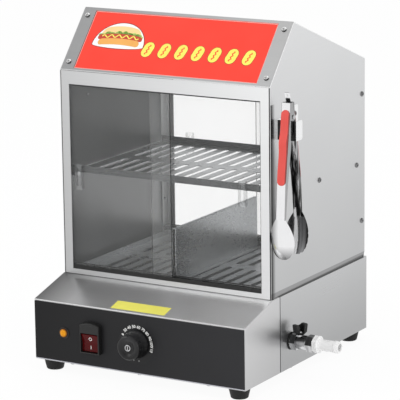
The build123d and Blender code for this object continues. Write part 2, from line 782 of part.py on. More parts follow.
def valve_lever():
    """Butterfly handle on the stem: a plate with two upturned wings."""
    centre = ball_x()
    z0 = drain_z + boss_height + slide_gap
    span = wing_span / 2
    root = span - wing_thick
    tall = wing_height
    wing = [(-root + 1, 0), (root - 1, 0), (span - 1, 0.18 * tall), (span, 0.6 * tall),
            (span + 0.8, tall), (root + 0.6, tall), (root - 0.6, 0.6 * tall),
            (root - 1.2, lever_plate), (-root + 1.2, lever_plate), (-root + 0.6, 0.6 * tall),
            (-root - 0.6, tall), (-span - 0.8, tall), (-span, 0.6 * tall), (-span + 1, 0.18 * tall)]
    lever = side_prism([(drain_y + y, z0 + z) for y, z in wing],
                       centre - wing_width / 2, centre + wing_width / 2)
    tips = [e for e in lever.edges() if e.center().Z > z0 + tall - 0.01]
    lever = fillet(tips, 1.6)
    lever -= rod((centre, drain_y, z0), (centre, drain_y, z0 + lever_plate + 1),
                 lever_screw_radius + hole_gap)
    top = drain_z + boss_height + stem_rise + hole_gap
    lever -= rod((centre, drain_y, z0 - 1), (centre, drain_y, top), stem_radius + run_gap)
    return turn_handle(lever)


def lever_screw():
    centre = ball_x()
    z = drain_z + boss_height + slide_gap + lever_plate
    return pan_screw((centre, drain_y, z), (0, 0, 1), lever_screw_length, head=3.4,
                     radius=lever_screw_radius)


def drain_nozzle():
    """White hose tail: spigot, hexagon, stop ring and tapered tail with an end bead."""
    x0 = valve_start() + valve_length
    r = tail_radius
    ring_x = nozzle_collar
    end = nozzle_length
    profile = [(nozzle_bore, -7.5), (nozzle_spigot, -7.5), (nozzle_spigot, 0.2),
               (valve_radius - 0.8, 0.2), (valve_radius - 0.8, ring_x), (nozzle_ring - 0.6, ring_x),
               (nozzle_ring, ring_x + 0.6), (nozzle_ring, ring_x + 3.8),
               (nozzle_ring - 0.8, ring_x + 4.6), (r + 0.6, ring_x + 4.8), (r, ring_x + 9),
               (r, end - 9), (r + 0.7, end - 8), (r + 0.7, end - 5), (r - 0.7, end),
               (nozzle_bore, end)]
    tail = turned(profile, (x0, drain_y, drain_z), (1, 0, 0))
    grip = hex_bar((x0 + 0.2, drain_y, drain_z), (x0 + ring_x, drain_y, drain_z),
                   2 * valve_radius, nozzle_bore + 1)
    return tail + grip


# ------------------------------------------------------------------ cabinet
def hut_outline():
    return [(cabinet_front, base_top), (cabinet_front, eave), (ridge_y, ridge),
            (cabinet_rear, eave), (cabinet_rear, base_top)]


def hut_bends(solid, side_x):
    """Edges along the two roof slopes and the ridge."""
    slopes = [e for e in solid.edges()
              if abs(abs(e.center().X) - side_x) < 0.01 and e.center().Z > eave]
    tops = [e for e in solid.edges()
            if abs(e.center().X) < 0.01 and e.center().Z > ridge - 2 * bend_radius]
    return slopes + tops


def tuck_strip(side):
    """The side wall's lower edge leans inward, a little more at the back."""
    y0 = cabinet_front + tuck_start
    y1 = cabinet_rear - 2 * sheet
    faces = []
    for y, share in ((y0, tuck_front_share), (y1, 1.0)):
        high = base_top + tuck_height * share
        lean = tuck_depth * share
        points = [(hut_half, high), (hut_half - sheet, high), (hut_half - sheet - lean, base_top),
                  (hut_half - lean, base_top)]
        ring = [(side * x, y, z) for x, z in points]
        faces.append(make_face(Polyline(*ring, close=True)))
    return loft(faces)


def sign_opening():
    wide = hut_half - sign_margin_side
    return on_slope(flat_plate(-wide, wide, sign_margin_low, slope_length - sign_margin_high,
                               -2 * sheet, 2 * sheet, 1.0))


def sign_screw_places():
    wide = hut_half - sign_screw_side
    return [(x, s) for x in (-wide, wide)
            for s in (sign_screw_end, slope_length - sign_screw_end)]


def side_screw_places():
    """Screws through each side wall, as (y, z)."""
    rear_y = cabinet_rear - wall_screw_rear
    return [(rear_y, eave - wall_screw_high), (rear_y, eave - wall_screw_low),
            (tong_y + bracket_screw_back, bracket_high), (cabinet_front + peg_end, peg_z()),
            (cabinet_mid, peg_z()), (cabinet_rear - peg_end, peg_z())]


def peg_z():
    return shelf_top - sheet - peg_radius


def outer_cover():
    """Side walls and both roof slopes as one folded cover, open below, front and rear."""
    outer = side_prism(hut_outline(), -hut_half, hut_half)
    outer = fillet(hut_bends(outer, hut_half), bend_radius)
    face = offset(make_face(Polyline(*hut_outline(), close=True)), amount=-sheet)
    inner = extrude(Plane.YZ.offset(-hut_half + sheet) * face, amount=2 * (hut_half - sheet),
                    dir=(1, 0, 0))
    inner = fillet(hut_bends(inner, hut_half - sheet), bend_radius - sheet)
    cover = outer - inner
    cut_front = cabinet_front + sheet + joint_gap
    cut_rear = cabinet_rear - sheet - joint_gap
    wide = hut_half + 1
    cover -= block(-wide, wide, cabinet_front - 1, cut_front, base_top - 1, eave + 9)
    cover -= block(-wide, wide, cut_rear, cabinet_rear + 1, base_top - 1, eave + 9)
    inside = hut_half - sheet
    cover -= block(-inside, inside, cabinet_front, cabinet_rear, base_top - 1,
                   base_top + 2 * sheet)
    y0 = cabinet_front + tuck_start
    wedge = [(y0, base_top - 1), (y0, base_top + tuck_front_share * tuck_height),
             (cabinet_rear - 2 * sheet, base_top + tuck_height),
             (cabinet_rear, base_top + tuck_height), (cabinet_rear, base_top - 1)]
    cover -= side_prism(wedge, -wide, wide)
    cover += tuck_strip(1)
    cover += tuck_strip(-1)
    cover -= sign_opening()
    for x, s in sign_screw_places():
        cover -= on_slope(rod((x, s, -2), (x, s, 2), screw_shank + hole_gap))
    for y, z in side_screw_places():
        for side in (-1, 1):
            cover -= rod((side * (hut_half - 3), y, z), (side * (hut_half + 3), y, z),
                         screw_shank + hole_gap)
    return cover


def sign_panel():
    """Illustrated panel clamped behind the opening in the front slope."""
    wide = hut_half - sheet - sign_edge
    plate = flat_plate(-wide, wide, 2.0, slope_length - 3.0, -sheet - sign_thick, -sheet, 2.0)
    for x, s in sign_screw_places():
        plate -= rod((x, s, -9), (x, s, 2), screw_shank + hole_gap)
    return on_slope(plate)


def sign_screws():
    screws = [on_slope(pan_screw((x, s, 0), (0, 0, 1), sheet + sign_thick + 1))
              for x, s in sign_screw_places()]
    return Compound(screws)


def frame_front():
    """Window frame: one sheet with side returns into the cabinet."""
    y0 = cabinet_front
    top = eave - frame_top_gap
    frame = block(-frame_half, frame_half, y0, y0 + sheet, base_top, top)
    frame -= block(-window_half, window_half, y0 - 1, y0 + 2 * sheet, window_low, window_high)
    for side in (-1, 1):
        frame += block(side * frame_half, side * (frame_half - sheet), y0,
                       y0 + track_depth + 2 * sheet, base_top, top)
    folds = [e for e in frame.edges().filter_by(Axis.Z)
             if e.center().Y < y0 + 0.01 and abs(e.center().X) > frame_half - 0.1]
    return fillet(folds, 0.9 * sheet)


def frame_rear():
    """The same frame at the back, with holes for the cover's screws in its returns."""
    frame = turn_round(frame_front())
    for y, z in side_screw_places()[:2]:
        for side in (-1, 1):
            frame -= rod((side * (frame_half - 3), y, z), (side * (frame_half + 3), y, z),
                         screw_shank + hole_gap)
    return frame


def track_section(groove_depth):
    """Two-groove track as (depth, height), open upward."""
    tall = track_web + groove_depth
    first = track_wall + groove
    second = track_wall + pane_pitch
    last = second + groove
    return [(0, 0), (track_depth, 0), (track_depth, tall), (last, tall), (last, track_web),
            (second, track_web), (second, tall), (first, tall), (first, track_web),
            (track_wall, track_web), (track_wall, tall), (0, tall)]


def lower_track():
    outline = [(track_front + y, base_top + z) for y, z in track_section(lower_groove_depth)]
    return side_prism(outline, -track_half, track_half)


def upper_track():
    outline = [(track_front + y, upper_track_high - z)
               for y, z in track_section(upper_groove_depth)]
    return side_prism(outline, -track_half, track_half)


def pane_span(which):
    """Left and right edges of a pane at rest, for the front pair."""
    limit = frame_half - sheet
    if which == "left":
        left = -limit + pane_left_rest
    else:
        left = limit - pane_right_rest - pane_width
    return left, left + pane_width


def pane_face(which):
    """Front face of a pane: the left one runs in the front groove."""
    first = track_front + track_wall + slide_gap
    return first if which == "left" else first + pane_pitch


def door_pane(which):
    x0, x1 = pane_span(which)
    y0 = pane_face(which)
    return front_plate(x0, x1, pane_low, pane_high, y0, y0 + pane_thick, pane_corner)


def door_handle(which):
    """Clear finger pull with an oval recess, bonded to the face of a pane."""
    x0, x1 = pane_span(which)
    x = x0 + handle_inset if which == "left" else x1 - handle_inset
    y0 = pane_face(which)
    z = base_top + handle_rise
    wide = handle_width / 2
    tall = handle_height / 2
    grip = front_plate(x - wide, x + wide, z - tall, z + tall, y0 - handle_depth, y0, 3.0)
    grip = chamfer(grip.faces().sort_by(Axis.Y)[0].edges(), 1.0)
    recess = Pos(x, z) * SlotOverall(0.72 * handle_height, 0.5 * handle_width, rotation=90)
    return grip - front_prism(recess, y0 - handle_depth - 1, y0 - 0.4 * handle_depth)


def slot_places(y0, y1, wide):
    """Centres of two rows of slots over a tray."""
    count = int((2 * wide - slot_pitch) // slot_pitch)
    mid = (y0 + y1) / 2
    shift = (slot_length + slot_land) / 2
    return [((n - (count - 1) / 2) * slot_pitch, mid + row * shift)
            for n in range(count) for row in (-1, 1)]


def cut_slots(plate, y0, y1, wide, z0):
    for x, y in slot_places(y0, y1, wide):
        slot = Pos(x, y, z0 - 1) * SlotOverall(slot_length, slot_width, rotation=90)
        plate -= extrude(slot, amount=sheet + 2)
    return plate


def bun_shelf():
    """Slotted shelf with a turned-down edge at the front and back."""
    z0 = shelf_top - sheet
    shelf = block(-shelf_half, shelf_half, shelf_y0, shelf_y1, z0, shelf_top)
    for y in (shelf_y0, shelf_y1 - sheet):
        shelf += block(-shelf_half, shelf_half, y, y + sheet, shelf_top - shelf_flange, shelf_top)
    folds = [e for e in shelf.edges().filter_by(Axis.X) if e.center().Z > shelf_top - 0.01]
    shelf = fillet(folds, 0.9 * sheet)
    return cut_slots(shelf, shelf_y0, shelf_y1, shelf_half, z0)


def shelf_pegs():
    """Studs inside the side walls that carry the shelf."""
    pegs = []
    for y in (cabinet_front + peg_end, cabinet_mid, cabinet_rear - peg_end):
        for side in (-1, 1):
            x0 = side * (hut_half - sheet)
            x1 = x0 - side * peg_length
            peg = rod((x0, y, peg_z()), (x1, y, peg_z()), peg_radius)
            peg -= rod((x0, y, peg_z()), (x0 - side * 5, y, peg_z()), screw_shank + hole_gap)
            pegs.append(peg)
    return Compound(pegs)


def side_screws():
    """Screws of both side walls; those of the shelf run into its studs."""
    shank = 2 * sheet + frame_side_gap
    screws = []
    for y, z in side_screw_places():
        for side in (-1, 1):
            seat = hut_half
            if side > 0 and z == bracket_high:
                seat = hut_half + bracket_sheet
            screws.append(pan_screw((side * seat, y, z), (side, 0, 0), shank))
    return Compound(screws)


def sausage_tray():
    """Slotted tray on the tank rim, with a low lip all round."""
    wide = tray_half
    outer = flat_plate(-wide, wide, shelf_y0, shelf_y1, tank_top, tank_top + tray_lip, 4)
    hollow = flat_plate(-wide + sheet, wide - sheet, shelf_y0 + sheet, shelf_y1 - sheet,
                        tray_top, tank_top + tray_lip + 1, 4 - sheet)
    return cut_slots(outer - hollow, shelf_y0, shelf_y1, wide, tank_top)


def tray_divider():
    """Lift-out partition, a folded inverted U with two feet."""
    y0 = shelf_y0 + 6
    y1 = shelf_y1 - 6
    wide = divider_width / 2
    top = tray_top + divider_height
    wall = block(-wide, wide, y0, y1, tray_top, top)
    wall = fillet(wall.edges().filter_by(Axis.Y).group_by(Axis.Z)[-1], bend_radius)
    wall -= block(-wide + sheet, wide - sheet, y0 - 1, y1 + 1, tray_top - 1, top - sheet)
    for side in (-1, 1):
        wall += block(side * (wide - sheet), side * (wide + divider_foot), y0, y1,
                      tray_top, tray_top + sheet)
    return wall


# ------------------------------------------------------------------ tongs
def arm_outer(head):
    """Outer face of an arm as (reach, height above the pin)."""
    return [(head, head_rise), (head + 0.6, grip_high), (grip_reach, -grip_low),
            (scoop_reach - 0.6, -scoop_start - 8)]


def arm_inner():
    """Open edge of an arm's side walls."""
    return [(0.6, head_rise), (0.6, 2.0), (3.4, -20.0), (grip_reach - 7, -grip_low),
            (scoop_reach - 4, -scoop_start - 8)]


def tong_solid(outline, wide):
    """A side outline of (reach, height) for the front arm, extruded both ways."""
    points = [(tong_y - reach, pin_z + z) for reach, z in outline]
    return side_prism(points, tong_x - wide, tong_x + wide)


def scoop_leaf(notches):
    """Leaf outline of a scoop in (x, z) from the pin, with notches in its edges."""
    w = scoop_half
    top = -scoop_start
    leaf = scoop_length - scoop_start
    right = Spline((0.35 * w, top), (0.7 * w, top - 0.18 * leaf), (w, top - 0.5 * leaf),
                   (0.88 * w, top - 0.77 * leaf), (0.52 * w, top - 0.95 * leaf), (0, top - leaf))
    left = mirror(right, Plane.YZ)
    face = make_face(Curve() + [right, left, Line((0.35 * w, top), (-0.35 * w, top))])
    for n in range(notches):
        share = 0.42 + 0.12 * n
        spot = right @ share
        for side in (-1, 1):
            face -= Pos(side * (spot.X + 1.4), spot.Y - 0.6) * Circle(scallop_radius)
    return face


def tong_scoop(notches):
    """Dished leaf at the end of the front arm."""
    axis_y = tong_y - scoop_reach + scoop_bowl
    top = -scoop_start
    leaf = scoop_length - scoop_start
    rim = [(scoop_bowl - 0.6, top), (scoop_bowl + 0.4, top - 0.42 * leaf),
           (scoop_bowl - 2.2, top - 0.75 * leaf), (scoop_bowl - 8.6, top - leaf - 1)]
    outer = Spline(*rim)
    inner = Spline(*[(r - arm_sheet, z) for r, z in rim])
    ends = [Line(outer @ 0, inner @ 0), Line(outer @ 1, inner @ 1)]
    strip = make_face(Curve() + [outer, inner] + ends)
    bowl = revolve(Plane.XZ * strip, Axis.Z)
    bowl = Pos(tong_x, axis_y, pin_z) * bowl
    leaf = front_prism(Pos(tong_x, pin_z) * scoop_leaf(notches), tong_y - scoop_reach - 6, tong_y - 6)
    return bowl & leaf


def tong_arm(wide, head, notches):
    """One arm: a channel open to the inside, two pin ears and a scoop."""
    outer = arm_outer(head)
    web = [(r - arm_sheet, z) for r, z in outer]
    channel = tong_solid(outer + arm_inner()[::-1], wide)
    hollow = tong_solid([(web[0][0], head_rise + 1)] + web[1:-1]
                        + [(web[-1][0], web[-1][1] - 1), (-2, web[-1][1] - 1),
                           (-2, head_rise + 1)], wide - arm_sheet)
    arm = channel - hollow
    for side in (-1, 1):
        x_out = tong_x + side * wide
        x_in = tong_x + side * (wide - arm_sheet)
        arm += rod((x_out, tong_y, pin_z), (x_in, tong_y, pin_z), ear_radius)
        arm += block(x_out, x_in, tong_y - head + 1, tong_y, pin_z - 4, pin_z + 4)
    arm += tong_scoop(notches)
    return arm - rod((tong_x - 12, tong_y, pin_z), (tong_x + 12, tong_y, pin_z),
                     tong_pin + run_gap)


def to_rear(piece):
    """Mirrors a front arm piece to the rear arm."""
    return mirror(piece, Plane.XZ.offset(-tong_y))


def front_arm_half():
    return arm_width / 2


def rear_arm_half():
    return arm_width / 2 - arm_sheet - 0.2


def tong_grip(head, t, thumb):
    """Silicone grip on the outer face of an arm, with a thumb rise near the top."""
    top, bottom = arm_outer(head)[1:3]
    slope = (bottom[0] - top[0]) / (top[1] - bottom[1])

    def reach(z):
        return top[0] + slope * (top[1] - z)

    crest = [(grip_high, 0.8), (-8.0, t), (-24.0, t), (-34.0, t + thumb), (-47.0, t + 0.3 * thumb),
             (-grip_belly_high, t), (-grip_belly_low, t), (-grip_low, 0.8)]
    back = Spline(*[(tong_y - reach(z) - extra, pin_z + z) for z, extra in crest])
    low, high = crest[-1][0], crest[0][0]
    inner_low = (tong_y - reach(low), pin_z + low)
    inner_high = (tong_y - reach(high), pin_z + high)
    edge = [Line(back @ 1, inner_low), Line(inner_low, inner_high), Line(inner_high, back @ 0)]
    profile = make_face(Curve() + [back] + edge)
    side = grip_width / 2
    grip = extrude(Plane.YZ.offset(tong_x - side) * profile, amount=grip_width, dir=(1, 0, 0))
    outline = front_plate(tong_x - side, tong_x + side, pin_z + low, pin_z + high,
                          tong_y - 2 * grip_reach, tong_y, side - 0.4)
    return grip & outline


def tong_pivot_pin():
    """Pin through both arms with two flat heads."""
    wide = front_arm_half()
    pin = rod((tong_x - wide - 0.2, tong_y, pin_z), (tong_x + wide + 0.2, tong_y, pin_z), tong_pin)
    for side in (-1, 1):
        x0 = tong_x + side * (wide + 0.2)
        pin += rod((x0, tong_y, pin_z), (x0 + side * 1.0, tong_y, pin_z), 1.6 * tong_pin)
    return pin


def tong_spring():
    """Coil of the opening spring round the pin."""
    wire = 0.7
    turns = 5
    x0 = tong_x - turns * wire
    coil = None
    for n in range(turns):
        ring = Plane((x0 + (2 * n + 1) * wire, tong_y, pin_z), z_dir=(1, 0, 0)).location
        ring = ring * Torus(tong_pin + 0.2 + wire, 1.02 * wire)
        coil = ring if coil is None else coil + ring
    return coil


def tong_lock_tab():
    """Pull tab of the closing lock, with a cross foot guided in the head."""
    wide = rear_arm_half() - arm_sheet - slide_gap
    z0 = pin_z + tab_rise
    strip = [(0.6, 0), (0.6, 10), (-5.4, 26), (-6.8, 25.4), (-0.6, 9.4), (-0.6, 0)]
    tab = side_prism([(tong_y + y, z0 + z) for y, z in strip], tong_x - 4, tong_x + 4)
    tab += block(tong_x - wide, tong_x + wide, tong_y - 0.6, tong_y + 0.6, z0, z0 + 4)
    hole = rod((tong_x, tong_y - 12, z0 + 21.5), (tong_x, tong_y + 4, z0 + 21.5), 2.0)
    return tab - hole


def tong_bracket():
    """Hook for the tongs: foot plate on the side wall, front leg and outer lip."""
    t = bracket_sheet
    x0 = hut_half
    x1 = hut_half + bracket_reach
    y0 = tong_y - t / 2
    foot = block(x0, x0 + t, y0, y0 + bracket_foot, bracket_low, bracket_high)
    leg = block(x0, x1, y0, y0 + t, bracket_low, bracket_high)
    lip = block(x1 - t, x1, y0, y0 + bracket_lip, bracket_low, bracket_high)
    hook = foot + leg + lip
    tab_y1 = y0 + bracket_foot
    hook += block(x0, x0 + t, tab_y1 - tab_width, tab_y1, bracket_high - 1,
                  bracket_high + tab_height)
    outer_fold = [e for e in hook.edges().filter_by(Axis.Z)
                  if e.center().X > x1 - 0.01 and e.center().Y < y0 + 0.01]
    hook = fillet(outer_fold, 0.9 * t)
    tips = [e for e in hook.edges().filter_by(Axis.X)
            if (e.center().X > x1 - t and e.center().Y > y0 + bracket_lip - 0.01)
            or (e.center().X < x0 + t and e.center().Z > bracket_high + tab_height - 0.01)]
    hook = fillet(tips, 4.0)
    y, z = side_screw_places()[2]
    return hook - rod((x0 - 1, y, z), (x0 + 3, y, z), screw_shank + hole_gap)


# ------------------------------------------------------------------ the whole appliance
def build_all():
    parts = {
        "control_housing": control_housing(),
        "control_panel": control_panel(),
        "base_shell": base_shell(),
        "bottom_plate": bottom_plate(),
        "rubber_feet": rubber_feet(),
        "foot_screws": foot_screws(),
        "bottom_screws": bottom_screws(),
        "water_tank": water_tank(),
        "heating_element": heating_element(),
        "tank_gland_nuts": tank_gland_nuts(),
        "temperature_probe": temperature_probe(),
        "thermal_cutout": thermal_cutout(),
        "thermostat_body": thermostat_body(),
        "thermostat_shaft": thermostat_shaft(),
        "temperature_knob": temperature_knob(),
        "switch_body": switch_body(),
        "power_rocker": power_rocker(),
        "lamp_body": lamp_body(),
        "lamp_lens": lamp_lens(),
        "terminal_block": terminal_block(),
        "cable_gland": cable_gland(),
        "drain_pipe": drain_pipe(),
        "drain_gasket": drain_gasket(),
        "drain_locknut": drain_locknut(),
        "valve_body": valve_body(),
        "valve_ball": valve_ball(),
        "valve_lever": valve_lever(),
        "lever_screw": lever_screw(),
        "drain_nozzle": drain_nozzle(),
        "outer_cover": outer_cover(),
        "sign_panel": sign_panel(),
        "sign_screws": sign_screws(),
        "side_screws": side_screws(),
        "front_frame": frame_front(),
        "rear_frame": frame_rear(),
        "front_lower_track": lower_track(),
        "front_upper_track": upper_track(),
        "rear_lower_track": turn_round(lower_track()),
        "rear_upper_track": turn_round(upper_track()),
        "bun_shelf": bun_shelf(),
        "shelf_pegs": shelf_pegs(),
        "sausage_tray": sausage_tray(),
        "tray_divider": tray_divider(),
        "tong_bracket": tong_bracket(),
        "tong_front_arm": tong_arm(front_arm_half(), arm_head, 0),
        "tong_rear_arm": to_rear(tong_arm(rear_arm_half(), rear_arm_head, scallops)),
        "tong_front_grip": tong_grip(arm_head, grip_thick, grip_thumb),
        "tong_rear_grip": to_rear(tong_grip(rear_arm_head, rear_grip_thick, 0.0)),
        "tong_pivot_pin": tong_pivot_pin(),
        "tong_spring": tong_spring(),
        "tong_lock_tab": tong_lock_tab(),
    }
    for which in ("left", "right"):
        parts["front_" + which + "_door"] = door_pane(which)
        parts["front_" + which + "_handle"] = door_handle(which)
        parts["rear_" + which + "_door"] = turn_round(door_pane(which))
        parts["rear_" + which + "_handle"] = turn_round(door_handle(which))
    return parts


def home_shift(parts):
    """Move that puts the origin at the bottom centre of the whole appliance."""
    boxes = [piece.bounding_box() for piece in parts.values()]
    mid_x = (min(b.min.X for b in boxes) + max(b.max.X for b in boxes)) / 2
    mid_y = (min(b.min.Y for b in boxes) + max(b.max.Y for b in boxes)) / 2
    return Pos(-mid_x, -mid_y, -min(b.min.Z for b in boxes))


def main():
    os.makedirs("parts", exist_ok=True)
    parts = build_all()
    shift = home_shift(parts)
    for name, piece in parts.items():
        export_step(shift * piece, os.path.join("parts", name + ".step"))


main()
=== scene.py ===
import math
import random
import bmesh
import bpy
from mathutils import Matrix, Vector


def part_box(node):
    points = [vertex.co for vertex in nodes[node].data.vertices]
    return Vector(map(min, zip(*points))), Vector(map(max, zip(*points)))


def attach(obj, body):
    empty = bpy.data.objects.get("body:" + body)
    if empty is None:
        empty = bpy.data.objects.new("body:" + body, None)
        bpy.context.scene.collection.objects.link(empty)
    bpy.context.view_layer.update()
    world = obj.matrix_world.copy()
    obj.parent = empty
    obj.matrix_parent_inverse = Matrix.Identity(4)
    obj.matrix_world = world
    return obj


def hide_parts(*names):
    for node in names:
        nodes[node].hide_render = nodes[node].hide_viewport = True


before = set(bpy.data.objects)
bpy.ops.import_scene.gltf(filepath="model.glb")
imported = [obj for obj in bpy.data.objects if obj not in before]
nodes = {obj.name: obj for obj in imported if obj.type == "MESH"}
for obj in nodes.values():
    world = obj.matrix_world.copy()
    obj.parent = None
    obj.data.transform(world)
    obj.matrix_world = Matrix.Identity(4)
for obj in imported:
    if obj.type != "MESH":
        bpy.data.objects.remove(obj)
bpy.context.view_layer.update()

MM = 0.001

# Drawing frame of the appliance: X from the cabinet's middle, Y from the control panel's
# face, Z from the table. home() turns it into the row frame.
panel_low, panel_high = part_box("control_panel")
home_x = (panel_low[0] + panel_high[0]) / 2
home_y = panel_low[1]


def home(x, y, z):
    """Millimetres in the drawing frame to a point in the row frame."""
    return Vector((home_x + x * MM, home_y + y * MM, z * MM))


# Sizes of the appliance in the drawing frame.
CABINET_FRONT = 85.0
EAVES = 461.8
ROOF_RISE = 88.6
RIDGE_SETBACK = 76.0          # ridge behind the cabinet's front
OVERLAY = 1.2                 # front edge of the deck behind the panel's face
PANEL_TOP = 114.1
DECK_RISE = 22.9              # from the panel's top to the cabinet
DIAL_X, DIAL_Z = -1.7, 65.4
SHEET = 1.0

# ------------------------------------------------------------------ camera
FOCAL_PIXELS = 2415.1
PHOTO_PIXELS = 400
SENSOR = 36
CAMERA_SPOT = (1888.4, -2987.5, 1078.6)

yaw, pitch, roll = math.radians(30.69), math.radians(12.53), math.radians(-0.76)
look = Vector((-math.sin(yaw) * math.cos(pitch), math.cos(yaw) * math.cos(pitch), -math.sin(pitch)))
level = Vector((math.cos(yaw), math.sin(yaw), 0))
rise = level.cross(look)
right = math.cos(roll) * level + math.sin(roll) * rise
up = -math.sin(roll) * level + math.cos(roll) * rise
camera_data = bpy.data.cameras.new("camera")
camera_data.sensor_width = SENSOR
camera_data.lens = FOCAL_PIXELS / PHOTO_PIXELS * SENSOR
camera_data.shift_x = -0.001
camera_data.shift_y = -0.0075
camera_data.clip_start = 0.1
camera_data.clip_end = 60
camera = bpy.data.objects.new("camera", camera_data)
bpy.context.scene.collection.objects.link(camera)
turn = Matrix((right, up, -look)).transposed().to_4x4()
camera.matrix_world = Matrix.Translation(home(*CAMERA_SPOT)) @ turn
bpy.context.scene.camera = camera


# ------------------------------------------------------------------ shader helpers
def new_material(name):
    mat = bpy.data.materials.new(name)
    mat.use_nodes = True
    tree = mat.node_tree
    return mat, tree, tree.nodes["Principled BSDF"]


def place(tree, scale):
    """Object coordinates, stretched."""
    coord = tree.nodes.new("ShaderNodeTexCoord")
    mapping = tree.nodes.new("ShaderNodeMapping")
    mapping.inputs["Scale"].default_value = scale
    tree.links.new(coord.outputs["Object"], mapping.inputs["Vector"])
    return mapping.outputs["Vector"]


def noise(tree, scale, detail=4.0, rough=0.55):
    """Procedural clouds or grain between 0 and 1."""
    node = tree.nodes.new("ShaderNodeTexNoise")
    node.inputs["Scale"].default_value = 1.0
    node.inputs["Detail"].default_value = detail
    node.inputs["Roughness"].default_value = rough
    tree.links.new(place(tree, scale), node.inputs["Vector"])
    return node.outputs["Fac"]


def spread(tree, value, low, high, start=0.3, end=0.7):
    """A value from start to end, turned into low to high and held beyond."""
    node = tree.nodes.new("ShaderNodeMapRange")
    node.inputs["From Min"].default_value = start
    node.inputs["From Max"].default_value = end
    node.inputs["To Min"].default_value = low
    node.inputs["To Max"].default_value = high
    tree.links.new(value, node.inputs["Value"])
    return node.outputs["Result"]


def tint(tree, value, dark, light):
    """A colour between dark and light."""
    node = tree.nodes.new("ShaderNodeMix")
    node.data_type = "RGBA"
    node.inputs["A"].default_value = (*dark, 1)
    node.inputs["B"].default_value = (*light, 1)
    tree.links.new(value, node.inputs["Factor"])
    return node.outputs["Result"]


def bump(tree, bsdf, value, strength, distance):
    node = tree.nodes.new("ShaderNodeBump")
    node.inputs["Strength"].default_value = strength
    node.inputs["Distance"].default_value = distance
    tree.links.new(value, node.inputs["Height"])
    tree.links.new(node.outputs["Normal"], bsdf.inputs["Normal"])


def along(tree, axis):
    """Object coordinate along one axis, in metres."""
    coord = tree.nodes.new("ShaderNodeTexCoord")
    parts = tree.nodes.new("ShaderNodeSeparateXYZ")
    tree.links.new(coord.outputs["Object"], parts.inputs["Vector"])
    return parts.outputs[axis]


def normal_part(tree, axis):
    """Part of the object's normal along one axis."""
    coord = tree.nodes.new("ShaderNodeTexCoord")
    parts = tree.nodes.new("ShaderNodeSeparateXYZ")
    tree.links.new(coord.outputs["Normal"], parts.inputs["Vector"])
    return parts.outputs[axis]


def calc(tree, operation, a, b=None):
    """One sum on numbers or sockets."""
    node = tree.nodes.new("ShaderNodeMath")
    node.operation = operation
    for n, value in enumerate((a, b)):
        if value is None:
            continue
        if isinstance(value, (int, float)):
            node.inputs[n].default_value = value
        else:
            tree.links.new(value, node.inputs[n])
    return node.outputs["Value"]


def times(tree, a, b):
    return calc(tree, "MULTIPLY", a, b)


def absolute(tree, value):
    return calc(tree, "ABSOLUTE", value)


def above(tree, value, limit):
    return calc(tree, "GREATER_THAN", value, limit)


def below(tree, value, limit):
    return calc(tree, "LESS_THAN", value, limit)


def facing(tree, axis, limit):
    """1 where the surface faces along the axis (either way), 0 elsewhere."""
    return above(tree, absolute(tree, normal_part(tree, axis)), limit)


def choose(tree, mask, off, on):
    """off where the mask is 0, on where it is 1: numbers or sockets."""
    node = tree.nodes.new("ShaderNodeMix")
    node.data_type = "FLOAT"
    tree.links.new(mask, node.inputs["Factor"])
    for label, value in (("A", off), ("B", on)):
        if isinstance(value, (int, float)):
            node.inputs[label].default_value = value
        else:
            tree.links.new(value, node.inputs[label])
    return node.outputs["Result"]


def dim(tree, colour, amount):
    """A colour times a number."""
    node = tree.nodes.new("ShaderNodeVectorMath")
    node.operation = "SCALE"
    tree.links.new(colour, node.inputs[0])
    tree.links.new(amount, node.inputs["Scale"])
    return node.outputs["Vector"]


def sheet_steel(name, tone, rough, grain, shade=None, shine=None):
    """Brushed stainless sheet with fine grain, soft cloudy patches and slight smudges.
    shade(tree) gives painted light and shade as a factor on the tone of each region, and shine(tree)
    how purely metallic it is."""
    mat, tree, bsdf = new_material(name)
    fine = noise(tree, grain, 6.0, 0.7)
    cloud = noise(tree, (7, 7, 7), 3.0)
    dark = tuple(0.95 * c for c in tone)
    light = tuple(min(1.0, 1.04 * c) for c in tone)
    colour = tint(tree, fine, dark, light)
    if shade:
        colour = dim(tree, colour, shade(tree))
    tree.links.new(colour, bsdf.inputs["Base Color"])
    mottle = calc(tree, "ADD", spread(tree, fine, rough - 0.04, rough + 0.04),
                  spread(tree, cloud, -0.03, 0.03))
    tree.links.new(mottle, bsdf.inputs["Roughness"])
    bsdf.inputs["Metallic"].default_value = 1.0
    if shine:
        tree.links.new(shine(tree), bsdf.inputs["Metallic"])
    bump(tree, bsdf, fine, 0.07, 0.00012)
    return mat


def metal(name, tone, rough, scale=160.0, shade=None, streak=None, shine=None):
    """Plated or polished metal; streak gives the stretch of a dark and light flow, and shade(tree)
    adds painted light and shade.
    """
    mat, tree, bsdf = new_material(name)
    fine = noise(tree, (scale, scale, scale))
    colour = tint(tree, fine, tuple(0.92 * c for c in tone), tone)
    if streak:
        flow = spread(tree, noise(tree, streak, 2.0), 0.55, 1.15)
        colour = dim(tree, colour, flow)
    if shade:
        colour = dim(tree, colour, shade(tree))
    tree.links.new(colour, bsdf.inputs["Base Color"])
    tree.links.new(spread(tree, fine, 0.75 * rough, 1.3 * rough), bsdf.inputs["Roughness"])
    bsdf.inputs["Metallic"].default_value = 1.0
    if shine:
        tree.links.new(shine(tree), bsdf.inputs["Metallic"])
    bump(tree, bsdf, fine, 0.08, 0.0001)
    return mat


